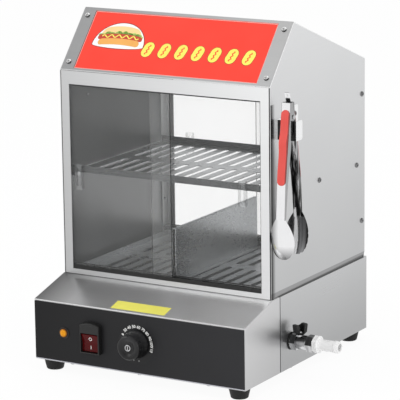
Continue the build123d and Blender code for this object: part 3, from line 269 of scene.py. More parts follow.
def plastic(name, tone, rough, grain=900.0, depth=0.25, gloss=0.5, shade=None):
    """Moulded or printed surface: fine grain of a given depth, and faint clouds of tone; shade(tree)
    adds painted light and shade.
    """
    mat, tree, bsdf = new_material(name)
    fine = noise(tree, (grain, grain, grain), 2.0)
    cloud = noise(tree, (25, 25, 25), 3.0)
    dark = tuple(0.9 * c for c in tone)
    light = tuple(min(1.0, 1.07 * c) for c in tone)
    colour = tint(tree, cloud, dark, light)
    if shade:
        colour = dim(tree, colour, shade(tree))
    tree.links.new(colour, bsdf.inputs["Base Color"])
    tree.links.new(spread(tree, cloud, 0.88 * rough, 1.12 * rough), bsdf.inputs["Roughness"])
    bsdf.inputs["Specular IOR Level"].default_value = gloss
    bump(tree, bsdf, fine, depth, 0.0001)
    return mat


def clear(name, tone, alpha, rough, edges):
    """Thin clear sheet with a faint haze of smudges; its upright cut edges look darker."""
    mat, tree, bsdf = new_material(name)
    cloud = noise(tree, (9, 9, 4))
    haze = spread(tree, cloud, 0.85 * alpha, 1.2 * alpha)
    colour = tint(tree, cloud, tuple(0.97 * c for c in tone), tone)
    edge = facing(tree, 0, 0.7)
    haze = choose(tree, edge, haze, edges)
    colour = dim(tree, colour, choose(tree, edge, 1.0, 0.04))
    tree.links.new(haze, bsdf.inputs["Alpha"])
    tree.links.new(colour, bsdf.inputs["Base Color"])
    tree.links.new(spread(tree, cloud, rough, 2.5 * rough), bsdf.inputs["Roughness"])
    bsdf.inputs["Specular IOR Level"].default_value = 0.5
    mat.surface_render_method = "BLENDED"
    return mat


# Regions of the sheet metal, in metres of the row frame.
cover_low, cover_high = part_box("outer_cover")
cover_mid = (cover_low[0] + cover_high[0]) / 2
cover_half = (cover_high[0] - cover_low[0]) / 2
shell_low, shell_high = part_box("base_shell")
shelf_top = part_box("bun_shelf")[1][2]
knob_low, knob_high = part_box("temperature_knob")
arm_low, arm_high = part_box("tong_front_arm")
arm_mid = (arm_low[0] + arm_high[0]) / 2
scoop_top = arm_low[2] + 0.062
near_eaves = cover_high[2] - 0.115
tuck_top = cover_low[2] + 0.0095


def inside(tree):
    """1 on the inner faces of the cabinet's side walls."""
    offset = absolute(tree, calc(tree, "SUBTRACT", along(tree, 0), cover_mid))
    return times(tree, below(tree, offset, cover_half - 0.0005), facing(tree, 0, 0.9))


def cover_painted_light(tree):
    """Painted light and shade on the cover: inner faces darker and darkest above the shelf, the tuck
    band and the walls' front edges darker, the walls brighter upward and to the right, the roof
    slopes brighter to the right.
    """
    height = spread(tree, along(tree, 2), 0.74, 1.08, cover_low[2], cover_high[2])
    across = spread(tree, along(tree, 0), 0.92, 1.04, cover_low[0], cover_high[0])
    outer = times(tree, height, across)
    tuck = below(tree, along(tree, 2), tuck_top)
    outer = times(tree, outer, choose(tree, tuck, 1.0, 0.62))
    edge = spread(tree, along(tree, 1), 0.05, 1.0, cover_low[1] + 0.002, cover_low[1] + 0.013)
    wall = times(tree, facing(tree, 0, 0.9), below(tree, along(tree, 2), near_eaves))
    outer = times(tree, outer, choose(tree, wall, 1.0, edge))
    slope = spread(tree, along(tree, 0), 1.02, 1.42, cover_low[0], cover_high[0])
    outer = times(tree, outer, choose(tree, facing(tree, 2, 0.3), 1.0, slope))
    inner = choose(tree, above(tree, along(tree, 2), shelf_top), 0.26, 0.07)
    return choose(tree, inside(tree), outer, inner)


def frame_painted_light(tree):
    """Painted light and shade on the window frames: brighter to the right and upward, with a painted
    dark line along their foot.
    """
    ramp = spread(tree, along(tree, 0), 0.70, 1.06, cover_low[0], cover_high[0])
    rail = below(tree, along(tree, 2), cover_low[2] + 0.0011)
    height = spread(tree, along(tree, 2), 0.86, 1.0, cover_low[2], cover_high[2] - 0.1)
    ramp = times(tree, ramp, height)
    return times(tree, ramp, choose(tree, rail, 1.0, 0.25))


def deck_mask(tree):
    """1 on the sloping deck of the housing."""
    return above(tree, normal_part(tree, 2), 0.7)


def housing_painted_light(tree):
    """Painted light and reflection on the housing: its sloping deck darker to the left and brighter
    to the right, its sides brighter upward and dimmed along their length.
    """
    left = spread(tree, along(tree, 0), 0.34, 1.0, cover_low[0], cover_low[0] + 0.06)
    ramp = spread(tree, along(tree, 0), 0.86, 1.86, cover_low[0] + 0.05, cover_high[0])
    side = spread(tree, along(tree, 2), 1.02, 1.24, shell_low[2], shell_high[2])
    back = spread(tree, along(tree, 1), 0.82, 0.72, panel_high[1], shell_low[1])
    side = times(tree, side, back)
    return choose(tree, deck_mask(tree), side, times(tree, left, ramp))


def housing_shine(tree):
    """The deck is a little less metallic, so that it takes some white."""
    return choose(tree, deck_mask(tree), 1.0, 0.84)


def shell_painted_shade(tree):
    """Painted shade: the base's sides get darker towards the table."""
    return spread(tree, along(tree, 2), 0.72, 0.94, shell_low[2] + 0.01, shell_high[2])


def bracket_shade(tree):
    """The bracket's leg is in shade away from the wall."""
    clear_of_wall = above(tree, along(tree, 0), cover_high[0] + 0.0033)
    return choose(tree, times(tree, facing(tree, 1, 0.7), clear_of_wall), 1.0, 0.06)


def painted_upper_reflection(tree):
    """Painted reflection of the dark ceiling: polished fittings darker on their upper faces."""
    return spread(tree, normal_part(tree, 2), 1.0, 0.16, 0.15, 0.45)


def from_arm_middle(tree):
    """Distance sideways from the middle of the tongs' arms."""
    return calc(tree, "SUBTRACT", along(tree, 0), arm_mid)


def scoop_painted_reflection(tree):
    """Painted reflection and shade on the polished front arm: dark bent edges, and a scoop darker on
    the side towards the grey wall and towards its tip.
    """
    side = from_arm_middle(tree)
    rim = above(tree, absolute(tree, side), 0.0069)
    shaft = choose(tree, rim, 1.0, 0.42)
    flow = spread(tree, side, 0.10, 1.0, -0.019, -0.003)
    tip = spread(tree, along(tree, 2), 0.22, 1.0, arm_low[2], arm_low[2] + 0.022)
    scoop = below(tree, along(tree, 2), scoop_top)
    return choose(tree, scoop, shaft, times(tree, flow, tip))


def crescent(tree):
    """Mask of a painted highlight: the bright crescent in the rear scoop, wider towards its tip."""
    aside = absolute(tree, calc(tree, "ADD", from_arm_middle(tree), 0.0045))
    width = spread(tree, along(tree, 2), 0.0044, 0.0008, arm_low[2], scoop_top + 0.012)
    low = below(tree, along(tree, 2), scoop_top + 0.008)
    return times(tree, below(tree, aside, width), low)


def rear_arm_painted_reflection(tree):
    """Painted reflection and shade on the hollow rear arm: dark with a bright flow; its scoop
    darkens to the right and upward; the painted highlight crescent is bright.
    """
    side = from_arm_middle(tree)
    flow = spread(tree, noise(tree, (180, 180, 16), 2.0), 0.05, 1.5, 0.46, 0.66)
    fade = spread(tree, side, 1.0, 0.10, 0.003, 0.018)
    drop = spread(tree, along(tree, 2), 1.3, 0.40, arm_low[2], scoop_top)
    bowl = times(tree, fade, drop)
    arm = choose(tree, below(tree, along(tree, 2), scoop_top - 0.004), flow, bowl)
    return choose(tree, crescent(tree), arm, 2.1)


def streaks_shine(tree):
    """The painted highlight crescent is nearly matt and white."""
    return choose(tree, crescent(tree), 1.0, 0.1)


def sign_screw_painted_light(tree):
    """Painted highlight and shade on the sign's screws: bright heads, dark below."""
    return spread(tree, normal_part(tree, 2), 0.03, 1.0, 0.34, 0.58)


def sign_screw_shine(tree):
    """Less metallic on top, so that the heads take the white of the lights."""
    return spread(tree, normal_part(tree, 2), 0.9, 0.3)


def panel_painted_light(tree):
    """The control panel: painted light, a little lighter to the right, with a light grey line along
    its foot.
    """
    ramp = spread(tree, along(tree, 0), 0.36, 1.28, cover_low[0], cover_high[0])
    return choose(tree, below(tree, along(tree, 2), panel_low[2] + 0.0012), ramp, 26.0)


def knob_painted_light(tree):
    """Painted light on the knob: lighter towards its upper edge."""
    return spread(tree, along(tree, 2), 0.20, 1.70, knob_low[2] + 0.008, knob_high[2])


def grip_painted_shade(tree):
    """Painted shade on the grips: darker on their edges and under the thumb rise."""
    side = above(tree, absolute(tree, normal_part(tree, 0)), 0.6)
    under = spread(tree, normal_part(tree, 2), 0.70, 1.0, -0.22, -0.04)
    return times(tree, under, choose(tree, side, 1.0, 0.50))


steel_cover = sheet_steel("steel_cover", (0.66, 0.665, 0.67), 0.34, (4, 4, 700), cover_painted_light)
steel_shell = sheet_steel("steel_base", (0.56, 0.565, 0.57), 0.32, (4, 4, 700), shell_painted_shade)
steel_front = sheet_steel("steel_frames", (0.80, 0.805, 0.81), 0.36, (4, 4, 700), frame_painted_light)
steel_deck = sheet_steel("steel_housing", (0.66, 0.66, 0.665), 0.32, (4, 260, 500),
                         housing_painted_light, housing_shine)
# Steel inside the cabinet: a darker copy of the outer steel, as painted shade.
steel_inner = sheet_steel("steel_inside_painted_shade", (0.34, 0.35, 0.36), 0.30, (5, 160, 500))
steel_bracket = sheet_steel("steel_bracket", (0.88, 0.885, 0.89), 0.30, (160, 160, 160),
                            bracket_shade)
plated = metal("plated_screws", (0.60, 0.60, 0.61), 0.20, streak=(300, 300, 300))
# The sign's screws: a lighter copy of the plated metal, as painted light.
bright_plated = metal("plated_sign_screws", (0.94, 0.94, 0.94), 0.24, shade=sign_screw_painted_light,
                      shine=sign_screw_shine)
nickel = metal("nickel_fittings", (0.70, 0.70, 0.71), 0.14, 90.0, painted_upper_reflection, (160, 40, 40))
tong_steel = metal("polished_tongs", (0.88, 0.88, 0.89), 0.14, 60.0, scoop_painted_reflection)
# The rear arm: a darker copy of the tongs' steel, as painted shade.
tong_shaded = metal("polished_tongs_painted_shade", (0.42, 0.42, 0.425), 0.12, 60.0, rear_arm_painted_reflection,
                    shine=streaks_shine)
side_plated = metal("plated_side_screws", (0.26, 0.26, 0.265), 0.24, streak=(400, 400, 400))
brass = metal("brass_nuts", (0.72, 0.52, 0.22), 0.30)
heater = metal("dulled_heater_tube", (0.30, 0.28, 0.27), 0.42, 220.0)
panel_black = plastic("panel_black", (0.019, 0.019, 0.021), 0.40, 1400.0, 0.12, gloss=0.22,
                      shade=panel_painted_light)
knob_black = plastic("knob_black", (0.014, 0.014, 0.015), 0.30, 1200.0, 0.12, gloss=0.34,
                     shade=knob_painted_light)
moulded_black = plastic("moulded_black", (0.014, 0.014, 0.014), 0.30, gloss=0.35)
rubber = plastic("rubber_black", (0.012, 0.012, 0.012), 0.60, 700.0, 0.5, gloss=0.3)
white_plastic = plastic("nozzle_white", (0.90, 0.90, 0.90), 0.30)
silicone = plastic("silicone_red", (0.74, 0.080, 0.066), 0.42, 1100.0, 0.2, gloss=0.4,
                   shade=grip_painted_shade)
rocker_red = plastic("rocker_red", (0.085, 0.003, 0.004), 0.20, 500.0, 0.1, gloss=0.14)
sign_red = plastic("sign_red", (0.93, 0.062, 0.040), 0.38, 600.0, 0.05, gloss=0.2)
glazed = plastic("glazed_ceramic", (0.80, 0.78, 0.73), 0.22)
pane = clear("door_panes", (0.93, 0.95, 0.95), 0.045, 0.03, edges=0.75)
pull = clear("clear_pulls", (0.92, 0.94, 0.95), 0.07, 0.08, edges=0.30)


def lens_material():
    """Amber lens, darker round its rim."""
    mat, tree, bsdf = new_material("lens_amber")
    low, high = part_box("lamp_lens")
    centre = ((low[0] + high[0]) / 2, (low[2] + high[2]) / 2)
    radius = (high[0] - low[0]) / 2
    dx = calc(tree, "SUBTRACT", along(tree, 0), centre[0])
    dz = calc(tree, "SUBTRACT", along(tree, 2), centre[1])
    away = calc(tree, "SQRT", calc(tree, "ADD", times(tree, dx, dx), times(tree, dz, dz)))
    rim = spread(tree, away, 0.0, 1.0, 0.62 * radius, 0.98 * radius)
    facets = noise(tree, (420, 420, 420), 2.0)
    body = tint(tree, facets, (0.62, 0.20, 0.002), (0.95, 0.42, 0.006))
    shade = tree.nodes.new("ShaderNodeMix")
    shade.data_type = "RGBA"
    shade.inputs["B"].default_value = (0.10, 0.022, 0.004, 1)
    tree.links.new(rim, shade.inputs["Factor"])
    tree.links.new(body, shade.inputs["A"])
    tree.links.new(shade.outputs["Result"], bsdf.inputs["Base Color"])
    bsdf.inputs["Roughness"].default_value = 0.22
    bsdf.inputs["Specular IOR Level"].default_value = 0.2
    bump(tree, bsdf, facets, 0.3, 0.0002)
    return mat


amber = lens_material()

slots = {
    "control_housing": steel_deck, "base_shell": steel_shell, "bottom_plate": steel_inner,
    "control_panel": panel_black, "rubber_feet": rubber, "foot_screws": plated,
    "bottom_screws": plated, "water_tank": steel_inner, "heating_element": heater,
    "tank_gland_nuts": brass, "temperature_probe": nickel, "thermal_cutout": glazed,
    "thermostat_body": moulded_black, "thermostat_shaft": nickel,
    "temperature_knob": knob_black, "switch_body": moulded_black, "power_rocker": rocker_red,
    "lamp_body": moulded_black, "lamp_lens": amber, "terminal_block": glazed,
    "cable_gland": moulded_black, "drain_pipe": nickel, "drain_gasket": rubber,
    "drain_locknut": nickel, "valve_body": nickel, "valve_ball": nickel,
    "valve_lever": moulded_black, "lever_screw": plated, "drain_nozzle": white_plastic,
    "outer_cover": steel_cover, "sign_panel": sign_red, "sign_screws": bright_plated,
    "side_screws": side_plated, "front_frame": steel_front, "rear_frame": steel_front,
    "front_lower_track": moulded_black, "front_upper_track": moulded_black,
    "rear_lower_track": moulded_black, "rear_upper_track": moulded_black,
    "bun_shelf": steel_inner, "shelf_pegs": plated, "sausage_tray": steel_inner,
    "tray_divider": steel_inner, "tong_bracket": steel_bracket, "tong_front_arm": tong_steel,
    "tong_rear_arm": tong_shaded, "tong_front_grip": silicone, "tong_rear_grip": silicone,
    "tong_pivot_pin": plated, "tong_spring": plated, "tong_lock_tab": tong_steel,
}
for pair in ("front", "rear"):
    for side in ("left", "right"):
        slots[f"{pair}_{side}_door"] = pane
        slots[f"{pair}_{side}_handle"] = pull
for name, mat in slots.items():
    mesh_slots = nodes[name].data.materials
    if len(mesh_slots) == 0:
        mesh_slots.append(mat)
    for n in range(len(mesh_slots)):
        mesh_slots[n] = mat


# ------------------------------------------------------------------ mesh helpers
def add_mesh(name, verts, faces, mat, body, smooth=False):
    """A piece of its own, in metres, that rides on a body."""
    data = bpy.data.meshes.new(name)
    data.from_pydata([tuple(v) for v in verts], [], faces)
    data.update()
    obj = bpy.data.objects.new(name, data)
    bpy.context.scene.collection.objects.link(obj)
    data.materials.append(mat)
    for poly in data.polygons:
        poly.use_smooth = smooth
    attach(obj, body)
    return obj


def plate(name, outline, origin, across, upward, thick, mat, body):
    """A thin plate: an outline of (u, v) in millimetres on a plane, raised by thick."""
    normal = across.cross(upward).normalized()
    low = [origin + across * (u * MM) + upward * (v * MM) for u, v in outline]
    high = [p + normal * (thick * MM) for p in low]
    count = len(outline)
    faces = [tuple(range(count, 2 * count)), tuple(reversed(range(count)))]
    faces += [(n, (n + 1) % count, count + (n + 1) % count, count + n) for n in range(count)]
    return add_mesh(name, low + high, faces, mat, body)


def oval(cx, cy, rx, ry, count=40, lean=0.0):
    """An oval outline, turned by lean."""
    points = []
    for n in range(count):
        a = 2 * math.pi * n / count
        x, y = rx * math.cos(a), ry * math.sin(a)
        points.append((cx + x * math.cos(lean) - y * math.sin(lean),
                       cy + x * math.sin(lean) + y * math.cos(lean)))
    return points


def pill(cx, cy, length, width, lean=0.0, bow=0.0):
    """A capsule outline, optionally bowed upward in its middle."""
    count = 12
    half, r = length / 2 - width / 2, width / 2
    points = []
    for n in range(count + 1):
        a = -math.pi / 2 + math.pi * n / count
        points.append((half + r * math.cos(a), r * math.sin(a)))
    for n in range(1, 8):
        points.append((half - 2 * half * n / 8, r))
    for n in range(count + 1):
        a = math.pi / 2 + math.pi * n / count
        points.append((-half + r * math.cos(a), r * math.sin(a)))
    for n in range(1, 8):
        points.append((-half + 2 * half * n / 8, -r))
    out = []
    for x, y in points:
        y += bow * (1 - (x / (half + r)) ** 2)
        out.append((cx + x * math.cos(lean) - y * math.sin(lean),
                    cy + x * math.sin(lean) + y * math.cos(lean)))
    return out


def ribbon(points, width):
    """Outline of a strip of the given width along a run of points."""
    left, rightward = [], []
    for n, p in enumerate(points):
        a = Vector(points[max(n - 1, 0)])
        b = Vector(points[min(n + 1, len(points) - 1)])
        d = (b - a).normalized()
        side = Vector((-d.y, d.x)) * width / 2
        left.append((p[0] + side.x, p[1] + side.y))
        rightward.append((p[0] - side.x, p[1] - side.y))
    return rightward + left[::-1]


# ------------------------------------------------------------------ sign
PRINT = 0.05                  # thickness of a printed layer
ROW_HEIGHT = 48.5             # the yellow row above the sign's foot
ROW_PITCH = 29.6
ROW_START = -44.5

roof_angle = math.atan2(ROOF_RISE, RIDGE_SETBACK)
sign_across = Vector((1, 0, 0))
sign_along = Vector((0, math.cos(roof_angle), math.sin(roof_angle)))
sign_out = sign_across.cross(sign_along)
sign_foot = home(0, CABINET_FRONT, EAVES) - sign_out * (SHEET * MM)


def print_ink(name, tone):
    return plastic(name, tone, 0.35, 800.0, 0.05)


yellow_ink = print_ink("ink_yellow", (0.96, 0.83, 0.13))
bun_ink = print_ink("ink_bun", (0.86, 0.42, 0.10))
bun_light = print_ink("ink_bun_light", (0.93, 0.66, 0.30))
sausage_ink = print_ink("ink_sausage", (0.56, 0.06, 0.03))
green_ink = print_ink("ink_green", (0.20, 0.42, 0.05))
leaf_ink = print_ink("ink_leaf", (0.50, 0.66, 0.18))
white_ink = print_ink("ink_white", (0.92, 0.92, 0.90))
pink_ink = print_ink("ink_pink", (0.93, 0.40, 0.36))
maroon_ink = print_ink("ink_maroon", (0.30, 0.022, 0.016))


def on_sign(name, outline, mat, layer):
    """A printed shape on the sign; a higher layer lies above a lower one."""
    origin = sign_foot + sign_out * (PRINT * layer * MM)
    return plate(name, outline, origin, sign_across, sign_along, PRINT, mat, "cabinet")


def dome(cx, cy, grow):
    """Half oval with a slightly bowed base."""
    top = [(cx + (46 + grow) * math.cos(math.pi * n / 36),
            cy + (41 + grow) * math.sin(math.pi * n / 36)) for n in range(37)]
    base = [(cx + (46 + grow) * math.cos(a), cy + (5 + grow) * math.sin(a))
            for a in [math.pi + math.pi * n / 18 for n in range(1, 18)]]
    return top + base


def badge(cx, cy):
    """A plain drawing of a filled roll in a white half oval."""
    on_sign("badge_rim", dome(cx, cy, 1.3), maroon_ink, 1)
    on_sign("badge_ground", dome(cx, cy, 0.0), white_ink, 2)
    rng = random.Random(4)
    on_sign("badge_roll_back", pill(cx, cy + 20, 70, 19, bow=6), bun_light, 3)
    for n in range(21):
        x = cx - 36 + 72 * n / 20
        y = cy + 16 + 6 * math.cos((x - cx) / 26) + rng.uniform(-2, 2)
        ink = leaf_ink if n % 3 else green_ink
        on_sign(f"badge_leaf_{n}", oval(x, y, 4.6, 3.2, 10, rng.uniform(-0.8, 0.8)), ink, 4)
    on_sign("badge_sausage", pill(cx, cy + 13, 80, 9, bow=4), sausage_ink, 5)
    on_sign("badge_roll_front", pill(cx, cy + 4.5, 74, 11, bow=3), bun_ink, 6)
    wave = []
    for n in range(41):
        bow = 2 * (1 - ((n - 20) / 20) ** 2)
        wave.append((cx - 33 + 66 * n / 40, cy + 15 + 2.4 * math.sin(n * math.pi / 4) + bow))
    on_sign("badge_mustard", ribbon(wave, 1.8), yellow_ink, 6)


badge(-101.0, 51.0)


def yellow_row():
    """A row of seven plain yellow rolls, each with a wave along it."""
    lean = math.radians(76)
    for n in range(7):
        cx = ROW_START + ROW_PITCH * n
        on_sign(f"motif_edge_{n}", pill(cx, ROW_HEIGHT, 28.4, 19.4, lean), maroon_ink, 1)
        on_sign(f"motif_roll_{n}", pill(cx, ROW_HEIGHT, 27, 18, lean), yellow_ink, 2)
        wave = []
        for k in range(13):
            t = -9.0 + 18.0 * k / 12
            bend = 1.5 * math.sin(k * math.pi / 2)
            wave.append((cx + t * math.cos(lean) - bend * math.sin(lean),
                         ROW_HEIGHT + t * math.sin(lean) + bend * math.cos(lean)))
        on_sign(f"motif_wave_{n}", ribbon(wave, 2.0), sign_red, 3)


yellow_row()

# A pale printed line runs round the sign, just inside its opening.
edge_side, edge_foot, edge_head = 161.6, 5.9, 110.2
corners = [(-edge_side, edge_foot), (edge_side, edge_foot), (edge_side, edge_head),
           (-edge_side, edge_head)]
for n in range(4):
    on_sign(f"sign_border_{n}", ribbon([corners[n], corners[(n + 1) % 4]], 1.3), pink_ink, 1)

# ------------------------------------------------------------------ control panel marks
front_across = Vector((1, 0, 0))
front_along = Vector((0, 0, 1))


def on_panel(name, outline, mat, thick=0.12):
    """A printed mark on the control panel."""
    return plate(name, outline, home(0, 0, 0), front_across, front_along, thick,
                 mat, "cabinet")


def digits(name, text, size, centre, lean, mat):
    """Plain dial numbers, laid on the panel and turned with the dial."""
    curve = bpy.data.curves.new(name, "FONT")
    curve.body = text
    curve.size = size
    curve.align_x = "CENTER"
    curve.align_y = "CENTER"
    curve.extrude = 0.00006
    curve.offset = 0.00013
    curve.resolution_u = 3
    holder = bpy.data.objects.new(name + "_curve", curve)
    bpy.context.scene.collection.objects.link(holder)
    holder.matrix_world = (Matrix.Translation(centre) @ Matrix.Rotation(math.radians(90), 4, "X")
                           @ Matrix.Rotation(lean, 4, "Z"))
    bpy.context.view_layer.update()
    shaped = holder.evaluated_get(bpy.context.evaluated_depsgraph_get())
    data = bpy.data.meshes.new_from_object(shaped)
    data.transform(holder.matrix_world)
    bpy.data.objects.remove(holder)
    obj = bpy.data.objects.new(name, data)
    bpy.context.scene.collection.objects.link(obj)
    data.materials.clear()
    data.materials.append(mat)
    return obj


GROUND_RADIUS = 31.5
NUMBER_RADIUS = 27.4
NUMBER_SIZE = 6.6
NUMBER_LIFT = 0.07
FIRST_NUMBER, NUMBER_STEP = -44, 18     # degrees from the top, clockwise
OFF_RADIUS, OFF_ANGLE = 26.6, -62
STOP_DROP, STOP_SIDE = 26.0, 4.6        # the two dots at the foot of the dial

dial_numbers = ("30", "40", "50", "60", "70", "80", "90", "100", "110")
dial_black = plastic("dial_black", (0.010, 0.010, 0.011), 0.30, 1400.0, 0.05, gloss=0.3)
on_panel("dial_ground", oval(DIAL_X, DIAL_Z, GROUND_RADIUS, GROUND_RADIUS, 72), dial_black, 0.05)
for n, text in enumerate(dial_numbers):
    angle = math.radians(FIRST_NUMBER + NUMBER_STEP * n)
    spot = home(DIAL_X + NUMBER_RADIUS * math.sin(angle), -NUMBER_LIFT,
                DIAL_Z + NUMBER_RADIUS * math.cos(angle))
    mark = digits("dial_" + text, text, NUMBER_SIZE * MM, spot, -angle, white_ink)
    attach(mark, "cabinet")
off_angle = math.radians(OFF_ANGLE)
off_x = DIAL_X + OFF_RADIUS * math.sin(off_angle)
off_z = DIAL_Z + OFF_RADIUS * math.cos(off_angle)
on_panel("dial_off", oval(off_x, off_z, 1.3, 2.3, 20, -off_angle), white_ink)
for n, side in enumerate((-STOP_SIDE, STOP_SIDE)):
    on_panel(f"dial_stop_{n}", oval(DIAL_X + side, DIAL_Z - STOP_DROP, 0.6, 0.6, 12), white_ink)

# A bare yellow label on the deck.
deck_angle = math.atan2(DECK_RISE, CABINET_FRONT - OVERLAY)
deck_along = Vector((0, math.cos(deck_angle), math.sin(deck_angle)))
sticker_yellow = plastic("sticker_yellow", (0.88, 0.83, 0.15), 0.45, 500.0, 0.15)
sticker = [(-50.5, 4.5), (45.5, 4.5), (45.5, 27.5), (-50.5, 27.5)]
plate("deck_sticker", sticker, home(0, OVERLAY, PANEL_TOP), front_across, deck_along, 0.2,
      sticker_yellow, "cabinet")

# ------------------------------------------------------------------ rocker marks
VALLEY, RIM = 4.4, 6.2        # the rocker's V face forward of its pivot
ROCKER_HALF, CHAMFER = 14.3, 0.8
rocker_tilt = math.radians(7.0)
rocker_pivot = home(-81.5, 1.0, 57.8)


def on_rocker(name, outline, high):
    """A mark on one half of the rocker's shallow V face."""
    reach = ROCKER_HALF - CHAMFER
    if high:
        a, b = Vector((0, -VALLEY, 0)), Vector((0, -RIM, reach))
    else:
        a, b = Vector((0, -RIM, -reach)), Vector((0, -VALLEY, 0))
    spin = Matrix.Rotation(rocker_tilt, 3, "X")
    a, b = spin @ a, spin @ b
    upward = (b - a).normalized()
    return plate(name, outline, rocker_pivot + (a + b) / 2 * MM, front_across, upward, 0.1,
                 white_ink, "rocker")


# The O is drawn as 16 joined pieces of a ring, the I as one bar.
ring = oval(0, 0, 2.9, 2.9, 16)
hole = oval(0, 0, 2.0, 2.0, 16)
for n in range(16):
    quad = [ring[n], ring[(n + 1) % 16], hole[(n + 1) % 16], hole[n]]
    on_rocker(f"rocker_off_{n}", quad, True)
on_rocker("rocker_on", [(-0.5, -2.8), (0.5, -2.8), (0.5, 2.8), (-0.5, 2.8)], False)

# ------------------------------------------------------------------ knob marks
cap_silver = metal("knob_cap_silver", (0.62, 0.62, 0.63), 0.28)


def turned_ring(name, points, centre, mat, body):
    """A turned band about a line through centre along -Y: (radius, forward) points."""
    count = 48
    verts, faces = [], []
    for n in range(count):
        a = 2 * math.pi * n / count
        for r, f in points:
            verts.append(centre + Vector((r * math.cos(a), -f, r * math.sin(a))) * MM)
    k = len(points)
    for n in range(count):
        m = (n + 1) % count
        for j in range(k):
            i = (j + 1) % k
            faces.append((n * k + j, m * k + j, m * k + i, n * k + i))
    return add_mesh(name, verts, faces, mat, body, smooth=True)


knob_centre = home(DIAL_X, 0, DIAL_Z)
KNOB_GAP, KNOB_LENGTH = 0.6, 25.0
DISH, CAP_RISE = 2.4, 1.4     # depth of the knob's dished face, and its cap above that
FOIL = 0.15
cap_face = KNOB_GAP + KNOB_LENGTH - DISH + CAP_RISE
cap_ring = [(5.0, cap_face), (5.0, cap_face + FOIL), (3.6, cap_face + FOIL), (3.6, cap_face)]
turned_ring("knob_cap_ring", cap_ring, knob_centre, cap_silver, "knob")
plate("knob_cap_bar", [(-0.6, -3.0), (0.6, -3.0), (0.6, 3.0), (-0.6, 3.0)],
      knob_centre + Vector((0, -cap_face, 0)) * MM, front_across, front_along, FOIL,
      cap_silver, "knob")

# ------------------------------------------------------------------ shelf with its edges up
def shelf_dark(tree):
    """The upright edges of the shelf stay in shade."""
    return choose(tree, facing(tree, 1, 0.7), 1.0, 0.22)


# The shelf: a darker copy of the steel, as painted shade.
steel_shelf = sheet_steel("steel_shelf", (0.40, 0.41, 0.42), 0.30, (5, 160, 500), shelf_dark)


def upturned_shelf():
    """The slotted shelf turned over in its own plane, so that its edges stand above it."""
    data = nodes["bun_shelf"].data.copy()
    data.name = "shelf_upturned"
    middle = shelf_top - SHEET * MM / 2
    mesh = bmesh.new()
    mesh.from_mesh(data)
    for vert in mesh.verts:
        vert.co.z = 2 * middle - vert.co.z
    bmesh.ops.reverse_faces(mesh, faces=mesh.faces)
    mesh.to_mesh(data)
    mesh.free()
    data.materials.clear()
    data.materials.append(steel_shelf)
    shelf = bpy.data.objects.new("shelf_upturned", data)
    bpy.context.scene.collection.objects.link(shelf)
    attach(shelf, "cabinet")
    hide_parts("bun_shelf")


upturned_shelf()

# ------------------------------------------------------------------ drain lever web
def lever_web():
    """A thin moulded web between the wings of the drain lever, dipped along its top."""
    low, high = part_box("valve_lever")
    turned = math.radians(23.0)             # the lever as it stands in the photograph
    setback = 4.8
    sideways = Vector((math.sin(turned), math.cos(turned), 0))
    forward = Vector((math.cos(turned), -math.sin(turned), 0))
    middle = Vector(((low[0] + high[0]) / 2, (low[1] + high[1]) / 2, low[2]))
    origin = middle - forward * (setback * MM)
    span, foot, top, dip = 6.2, 2.0, 15.0, 1.6
    crest = [(span - 2 * span * n / 16, top - dip * math.sin(math.pi * n / 16)) for n in range(17)]
    outline = [(-span, foot), (span, foot)] + crest
    plate("lever_web", outline, origin, sideways, Vector((0, 0, 1)), 1.3,
          moulded_black, "drain_valve")


lever_web()

# ------------------------------------------------------------------ floor, light, world
def light_path(tree, *kinds):
    """1 for rays of any of the kinds."""
    rays = tree.nodes.new("ShaderNodeLightPath")
    total = rays.outputs[kinds[0]]
    for kind in kinds[1:]:
        total = calc(tree, "MAXIMUM", total, rays.outputs[kind])
    return total


def mixed(tree, factor, first, second):
    """Two shaders: the first where the factor is 0, the second where it is 1."""
    node = tree.nodes.new("ShaderNodeMixShader")
    tree.links.new(factor, node.inputs["Fac"])
    tree.links.new(first, node.inputs[1])
    tree.links.new(second, node.inputs[2])
    return node.outputs["Shader"]


FLOOR_GLOW = 0.94             # share of plain white that the camera sees in the floor

floor_mat, floor_tree, floor_bsdf = new_material("floor_white")
floor_bsdf.inputs["Base Color"].default_value = (0.93, 0.93, 0.93, 1)
floor_bsdf.inputs["Roughness"].default_value = 0.9
floor_bsdf.inputs["Specular IOR Level"].default_value = 0.1
paper = floor_tree.nodes.new("ShaderNodeEmission")
paper.inputs["Color"].default_value = (1, 1, 1, 1)
paper.inputs["Strength"].default_value = 1.0
seen = light_path(floor_tree, "Is Camera Ray", "Is Glossy Ray", "Is Transmission Ray")
floor_tree.links.new(mixed(floor_tree, times(floor_tree, seen, FLOOR_GLOW),
                           floor_bsdf.outputs["BSDF"], paper.outputs["Emission"]),
                     floor_tree.nodes["Material Output"].inputs["Surface"])
floor_data = bpy.data.meshes.new("floor")
floor_data.from_pydata([(-9, -9, 0), (9, -9, 0), (9, 9, 0), (-9, 9, 0)], [], [(0, 1, 2, 3)])
floor = bpy.data.objects.new("floor", floor_data)
floor_data.materials.append(floor_mat)
bpy.context.scene.collection.objects.link(floor)


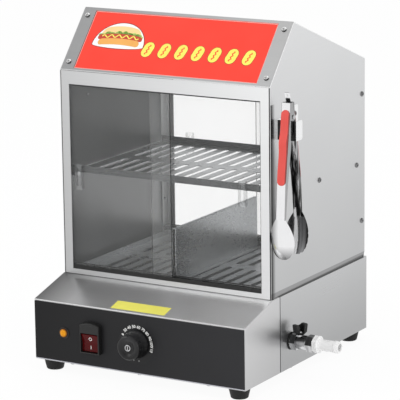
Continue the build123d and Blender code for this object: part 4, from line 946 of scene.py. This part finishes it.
def softbox(name, spot, aim, size, power, glossy=True):
    """A rectangular light at a spot, turned towards its aim."""
    data = bpy.data.lights.new(name, "AREA")
    data.shape = "RECTANGLE"
    data.size, data.size_y = size
    data.energy = power
    lamp = bpy.data.objects.new(name, data)
    bpy.context.scene.collection.objects.link(lamp)
    lamp.location = spot
    lamp.rotation_mode = "QUATERNION"
    lamp.rotation_quaternion = (Vector(aim) - Vector(spot)).to_track_quat("-Z", "Y")
    lamp.visible_glossy = glossy


softbox("overhead", (0.2, -0.2, 2.6), (0, 0, 0.2), (2.4, 2.4), 18, False)
softbox("key_left", (-2.0, -2.0, 1.4), (0, 0, 0.25), (1.4, 1.4), 11)
softbox("fill_right", (2.6, -0.6, 1.2), (0, 0, 0.25), (1.4, 1.6), 9)

# The world is plain white to the camera and softer for lighting; what metal mirrors falls
# off from the horizon to the ceiling, as in a studio.
world = bpy.data.worlds.new("studio")
bpy.context.scene.world = world
world.use_nodes = True
tree = world.node_tree
studio = tree.nodes["Background"]
studio.inputs["Color"].default_value = (1, 1, 1, 1)
studio.inputs["Strength"].default_value = 0.84
backdrop = tree.nodes.new("ShaderNodeBackground")
backdrop.inputs["Color"].default_value = (1, 1, 1, 1)
backdrop.inputs["Strength"].default_value = 1.0
ceiling = tree.nodes.new("ShaderNodeBackground")
ceiling.inputs["Color"].default_value = (1, 1, 1, 1)
direction = tree.nodes.new("ShaderNodeTexCoord")
parts = tree.nodes.new("ShaderNodeSeparateXYZ")
tree.links.new(direction.outputs["Generated"], parts.inputs["Vector"])
tree.links.new(spread(tree, parts.outputs[2], 1.0, 0.42, 0.10, 0.85), ceiling.inputs["Strength"])
lighting = mixed(tree, light_path(tree, "Is Glossy Ray"), studio.outputs["Background"],
                 ceiling.outputs["Background"])
tree.links.new(mixed(tree, light_path(tree, "Is Camera Ray", "Is Transmission Ray"), lighting,
                     backdrop.outputs["Background"]), tree.nodes["World Output"].inputs["Surface"])
bpy.context.scene.view_settings.view_transform = "Standard"
